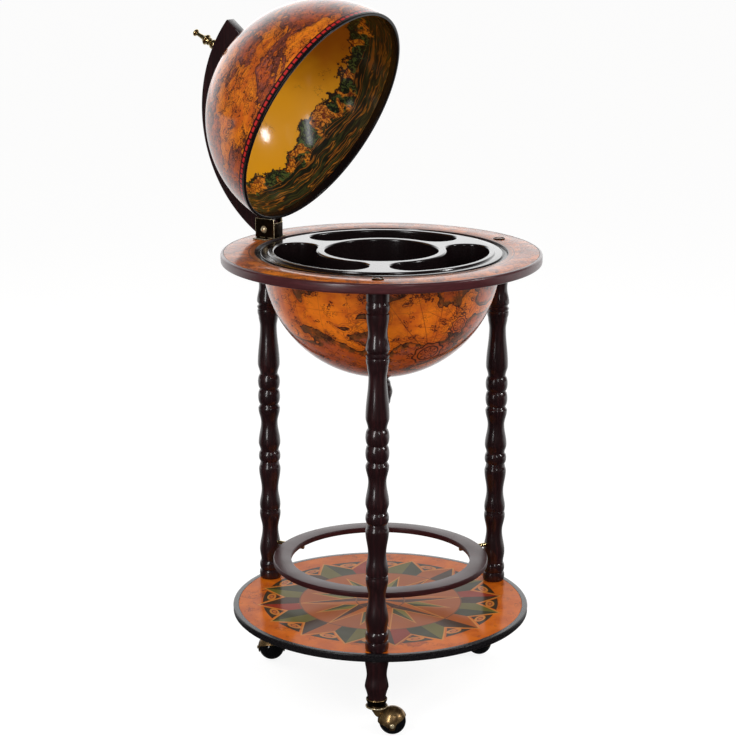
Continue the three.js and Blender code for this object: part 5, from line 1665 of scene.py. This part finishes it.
@dataclass
class Casters:
    """Three ball casters, in millimetres about the ball's centre, the swivel axis behind it."""

    finish: Finishes
    trails: dict[str, float] = field(default_factory=lambda: {"hinge_side": -145.0, "left": -60.0, "right": 95.0})
    trail: float = 22.0
    centre: float = -104.7
    ball: float = 18.7
    ball_bore: float = 2.6
    hood: float = 19.3
    wall: float = 1.3
    stretch: float = 1.03
    neck_half: float = 6.4
    clear: float = 30.0
    axle_radius: float = 2.0
    head: float = 3.4

    def build(self) -> None:
        """Model one caster and copy it under each foot."""
        cup, horn, axle, ball = self.cup(), self.horn(), self.axle(), self.rolling_ball()
        for side, azimuth in LEG_AZIMUTHS.items():
            leg = at_leg(azimuth)
            fork = leg @ about(self.trails[side]) @ shift(self.trail, 0.0, self.centre)
            for piece, name, place, body, slot in (
                (cup, "cup", leg, "frame", "antique_brass"), (horn, "horn", fork, f"swivel_{side}", "antique_brass"),
                (axle, "axle", fork, f"swivel_{side}", "steel"), (ball, "ball", fork, f"ball_{side}", "ball_black"),
            ):
                settle(copied(piece, f"{name}_{side}", place), body, slot, f"caster_{name}_{side}")
        discard(cup, horn, axle, ball)

    def cup(self) -> Piece:
        """Turn the two-tier cup with its stem and its pivot bore."""
        outline = [
            (0.0, -77.0), (3.6, -77.0), (3.6, -84.0), (11.8, -84.0), *arc((14.2, -82.6), 1.4, -90.0, 90.0, 8),
            (13.4, -80.6), (12.9, -79.4), (13.2, -76.6), (14.2, -74.6), *arc((14.0, -72.4), 0.8, -30.0, 30.0, 3),
            (14.8, -71.6), (14.4, -71.0), (13.1, -71.0), (13.1, -74.0), (4.0, -74.0), (4.0, -48.6),
            (3.4, -48.0), (0.0, -48.0),
        ]
        cup = coat(turn("caster_cup", outline, 56), self.finish.hood, self.finish.worn, self.finish.bronze)
        # Painted highlight: the cup's outermost ring gets the pale rubbed bronze in place of the floor's reflection.
        recoat(cup, 1, lambda place, _: math.hypot(place.x, place.y) > 15.1)
        return recoat(cup, 2, lambda place, _: -81.0 < place.z < -72.0)

    def horn(self) -> Piece:
        """Raise the hood from a ball, saw it to its side view and set the neck and pivot on it."""
        reach = self.hood + self.wall
        shell = []
        for radius, up in ((reach, True), (self.hood, False)):
            bend = arc((0.0, 0.0), radius, -89.0 if up else 89.0, 89.0 if up else -89.0, 36)
            shell += [(r, z * self.stretch) for r, z in bend]
        hood = turn("caster_horn", shell, 64)
        side = [
            (-26.0, -1.0), (-13.0, -0.4), (-9.0, -1.2), (-6.4, -3.4), *arc((0.0, -3.4), 4.3, 180.0, 340.0, 8),
            (4.9, -1.4), (5.6, 1.2), (7.4, 3.4), (13.0, 6.2), (26.0, 11.6), (26.0, self.clear), (-5.6, self.clear),
            (-5.6, 20.3), (-26.0, 20.3),
        ]
        cut_by(hood, self.sawn("hood_side", side, self.clear), keep=True)
        coat(hood, self.finish.hood, self.finish.worn)
        # The rounded edges get the pale rubbed bronze: partly wear, partly a painted highlight.
        round_edges(hood, 0.35, 2, slot=1)
        drilled(hood, self.axle_radius + BORE_GAP, -self.clear, self.clear, 24, about(90.0, "X"))
        return joined("caster_horn", [hood, self.neck(), self.pivot()])

    def sawn(self, name: str, side: Outline, half: float) -> Piece:
        """Saw a board to a side view, with half its thickness on each side of the ball's middle."""
        return board(name, [(-x, z) for x, z in side], Vector((0.0, -half, 0.0)), Vector((0.0, 2 * half, 0.0)))

    def neck(self) -> Piece:
        """Saw the neck that runs from under the cup to the back of the hood."""
        outline = [
            (-15.2, 20.2), (-28.6, 20.2), (-28.2, 16.0), (-24.4, 10.0), (-20.4, 6.4), (-17.0, 9.0), (-14.6, 15.4),
        ]
        neck = coat(self.sawn("horn_neck", outline, self.neck_half), self.finish.hood, self.finish.worn)
        round_edges(neck, 1.6, 3)
        room = [(r, z * self.stretch) for r, z in arc((0.0, 0.0), self.hood + 0.1, -90.0, 90.0, 24)]
        room[0], room[-1] = (0.0, room[0][1]), (0.0, room[-1][1])
        return cut_by(neck, turn("ball_room", room, 48))

    def pivot(self) -> Piece:
        """Turn the pivot and its boss."""
        outline = [
            (0.0, 17.0), (6.4, 17.0), (7.0, 17.6), (7.0, 20.4), (3.2, 20.4), (3.2, 25.9), (2.7, 26.4), (0.0, 26.4),
        ]
        pivot = moved(turn("horn_pivot", outline, 40), shift(-self.trail, 0.0, 0.0))
        return coat(pivot, self.finish.bronze, self.finish.worn)

    def axle(self) -> Piece:
        """Turn the axle pin with a rivet head at each end."""
        seat = self.hood + self.wall + SEAT
        outline = [
            (0.0, -seat - 1.3), (1.9, -seat - 1.0), (3.0, -seat - 0.4), (self.head, -seat), (self.axle_radius, -seat),
            (self.axle_radius, seat), (self.head, seat), (3.0, seat + 0.4), (1.9, seat + 1.0), (0.0, seat + 1.3),
        ]
        return coat(moved(turn("caster_axle", outline, 32), about(90.0, "X")), self.finish.worn)

    def rolling_ball(self) -> Piece:
        """Turn the ball with the bore for its axle."""
        face = math.degrees(math.acos(self.ball_bore / self.ball))
        outline = arc((0.0, 0.0), self.ball, -face, face, 40)
        return coat(moved(turn("caster_ball", outline, 72), about(90.0, "X")), self.finish.ball)


def dress_fittings(finish: Finishes) -> None:
    """Give the screws, studs, washer and nut that stay as packed their materials."""
    screws = ["bowl_drop_screw", "pole_washer", "pole_nut"]
    screws += [f"{kind}_{side}" for kind in ("leg_screw", "leg_stud") for side in LEG_AZIMUTHS]
    for name in screws:
        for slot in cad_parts[name].material_slots:
            slot.material = finish.brass if name.startswith("pole") else finish.steel


# Studio


@dataclass
class Studio:
    """Pale floor and backdrop, soft lamps and the photograph's camera, in metres."""

    floor: float = -0.1242
    lens: float = 104.13
    place: tuple[float, float, float] = (-2.5121, -1.5313, 1.0973)
    heading: float = 31.729
    pitch: float = -14.23
    roll: float = 0.104
    distance: float = 2.4
    aim: float = 0.4
    glow: float = 0.87
    floor_fade: float = 1.4
    floor_skew: float = 0.25
    wall_fade: tuple[float, float] = (0.38, 0.95)
    even: float = 0.5
    dark: float = 0.02
    bright: float = 1.9

    def build(self) -> None:
        """Set floor, world, lamps and camera."""
        self.lay_floor()
        self.wrap_world()
        for lamp in (
            ("left_front", -31.0, 21.0, 0.4, 2.2, 28.0), ("middle_front", 17.0, 26.0, 0.16, 1.3, 6.0),
            ("right_front", 41.0, 30.0, 0.26, 1.0, 8.0, False), ("right_side", 70.0, 25.0, 0.3, 0.4, 14.0),
            ("left_side", -123.0, 20.0, 1.1, 2.2, 16.0, False), ("right_back", 118.0, 16.0, 1.2, 2.0, 17.0, False),
            ("left_fill", -66.0, 30.0, 1.6, 1.6, 6.0, False), ("low_front", 10.0, 6.0, 1.6, 1.6, 11.0, False),
        ):
            self.hang_lamp(*lamp)
        self.set_camera()
        bpy.context.scene.view_settings.view_transform = "Standard"

    def lay_floor(self) -> None:
        """Lay a pale floor that shows the object's shadow only faintly."""
        clear_selection()
        bpy.ops.mesh.primitive_plane_add(size=60.0, location=(0.0, 0.0, self.floor))
        floor = named("studio_floor")
        tree = Tree(bpy.data.materials.new("pale_floor"))
        add, place = tree.add, tree.coords["Object"]
        rays = add("LightPath").node.outputs
        aside = add(Op.LARGER, add(Op.DOT, place, self.rightward()), 0.0)
        away = add(Op.TIMES_PLUS, aside, self.floor_skew, add(Op.DOT, place, self.ahead()))
        mirrored = add("Emission", "#ffffff", add(Op.STEP, away, 0.0, self.floor_fade, self.dark, 1.0))
        lit = add("MixShader", rays["Is Glossy Ray"], add("BsdfDiffuse", "#b4b2b0"), mirrored)
        seen = add("AddShader", add("BsdfDiffuse", "#7c7b7a"), add("Emission", "#ffffff", self.glow))
        add("OutputMaterial", add("MixShader", rays["Is Camera Ray"], lit, seen))
        floor.data.materials.append(tree.owner)
        floor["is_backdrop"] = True

    def wrap_world(self) -> None:
        """Wrap a world that is white to the camera, white behind the object in reflections, and even light."""
        bpy.context.scene.world = bpy.data.worlds.new("studio_world")
        tree = Tree(bpy.context.scene.world)
        add = tree.add
        rays = add("LightPath").node.outputs
        aim = add(Op.DOT, tree.coords["Generated"], self.ahead())
        behind = add(Op.STEP, aim, *self.wall_fade, self.dark, self.bright)
        lit = add("Mix", rays["Is Glossy Ray"], self.even, behind)
        add("OutputWorld", add("Background", "#ffffff", add("Mix", rays["Is Camera Ray"], lit, 1.0)))

    def ahead(self) -> tuple[float, float, float]:
        """Give the level direction from the camera's side to the backdrop."""
        heading = math.radians(self.heading)
        return math.cos(heading), math.sin(heading), 0.0

    def rightward(self) -> tuple[float, float, float]:
        """Give the level direction to the picture's right."""
        heading = math.radians(self.heading)
        return math.sin(heading), -math.cos(heading), 0.0

    def hang_lamp(self, name: str, turned: float, rise: float, width: float, height: float, power: float,
                  shines: bool = True) -> None:
        """Hang a flat lamp that looks at the middle of the object.

        Args:
            name: name of the lamp.
            turned: its direction from the camera's side, in degrees to the picture's right.
            rise: its elevation in degrees.
            width: its width.
            height: its height.
            power: its power in watts.
            shines: whether it shows in reflections.
        """
        toward = about(turned) @ -Vector(self.ahead())
        out = toward * math.cos(math.radians(rise)) + UP * math.sin(math.radians(rise))
        clear_selection()
        bpy.ops.object.light_add(type="AREA", location=UP * self.aim + out * self.distance,
                                 rotation=(-out).to_track_quat("-Z", "Y").to_euler())
        lamp = bpy.context.object
        lamp.name = f"{name}_lamp"
        lamp.data.shape = "RECTANGLE"
        lamp.data.size, lamp.data.size_y, lamp.data.energy = width, height, power
        lamp.visible_glossy = shines

    def set_camera(self) -> None:
        """Put the camera where the photograph was taken from."""
        heading, pitch, roll = (math.radians(a) for a in (self.heading, self.pitch, self.roll))
        ahead = Vector((math.cos(heading) * math.cos(pitch), math.sin(heading) * math.cos(pitch), math.sin(pitch)))
        level = Vector(self.rightward())
        upward = level.cross(ahead)
        right = level * math.cos(roll) + upward * math.sin(roll)
        up = upward * math.cos(roll) - level * math.sin(roll)
        clear_selection()
        bpy.ops.object.camera_add()
        camera = bpy.context.object
        camera.name = "photo_camera"
        turned = Matrix((right, up, -ahead)).transposed().to_4x4()
        camera.matrix_world = Matrix.Translation(self.place) @ turned
        camera.data.lens = self.lens
        camera.data.sensor_width = 36.0
        camera.data.clip_end = 100.0
        bpy.context.scene.camera = camera


def main() -> None:
    """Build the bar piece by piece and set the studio."""
    logging.basicConfig(level=logging.INFO, format="%(message)s", stream=sys.stdout)
    finish = Finishes()
    for group in (Table, Bowl, Lid, Legs, Shelf, Casters):
        group(finish).build()
        log.info("%s done", group.__name__)
    dress_fittings(finish)
    Studio().build()
    sizes = {"cad": CAD_BOX, "looks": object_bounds()}
    {key: [list(corner) for corner in box] for key, box in sizes.items()}


if __name__ == "__main__":
    main()
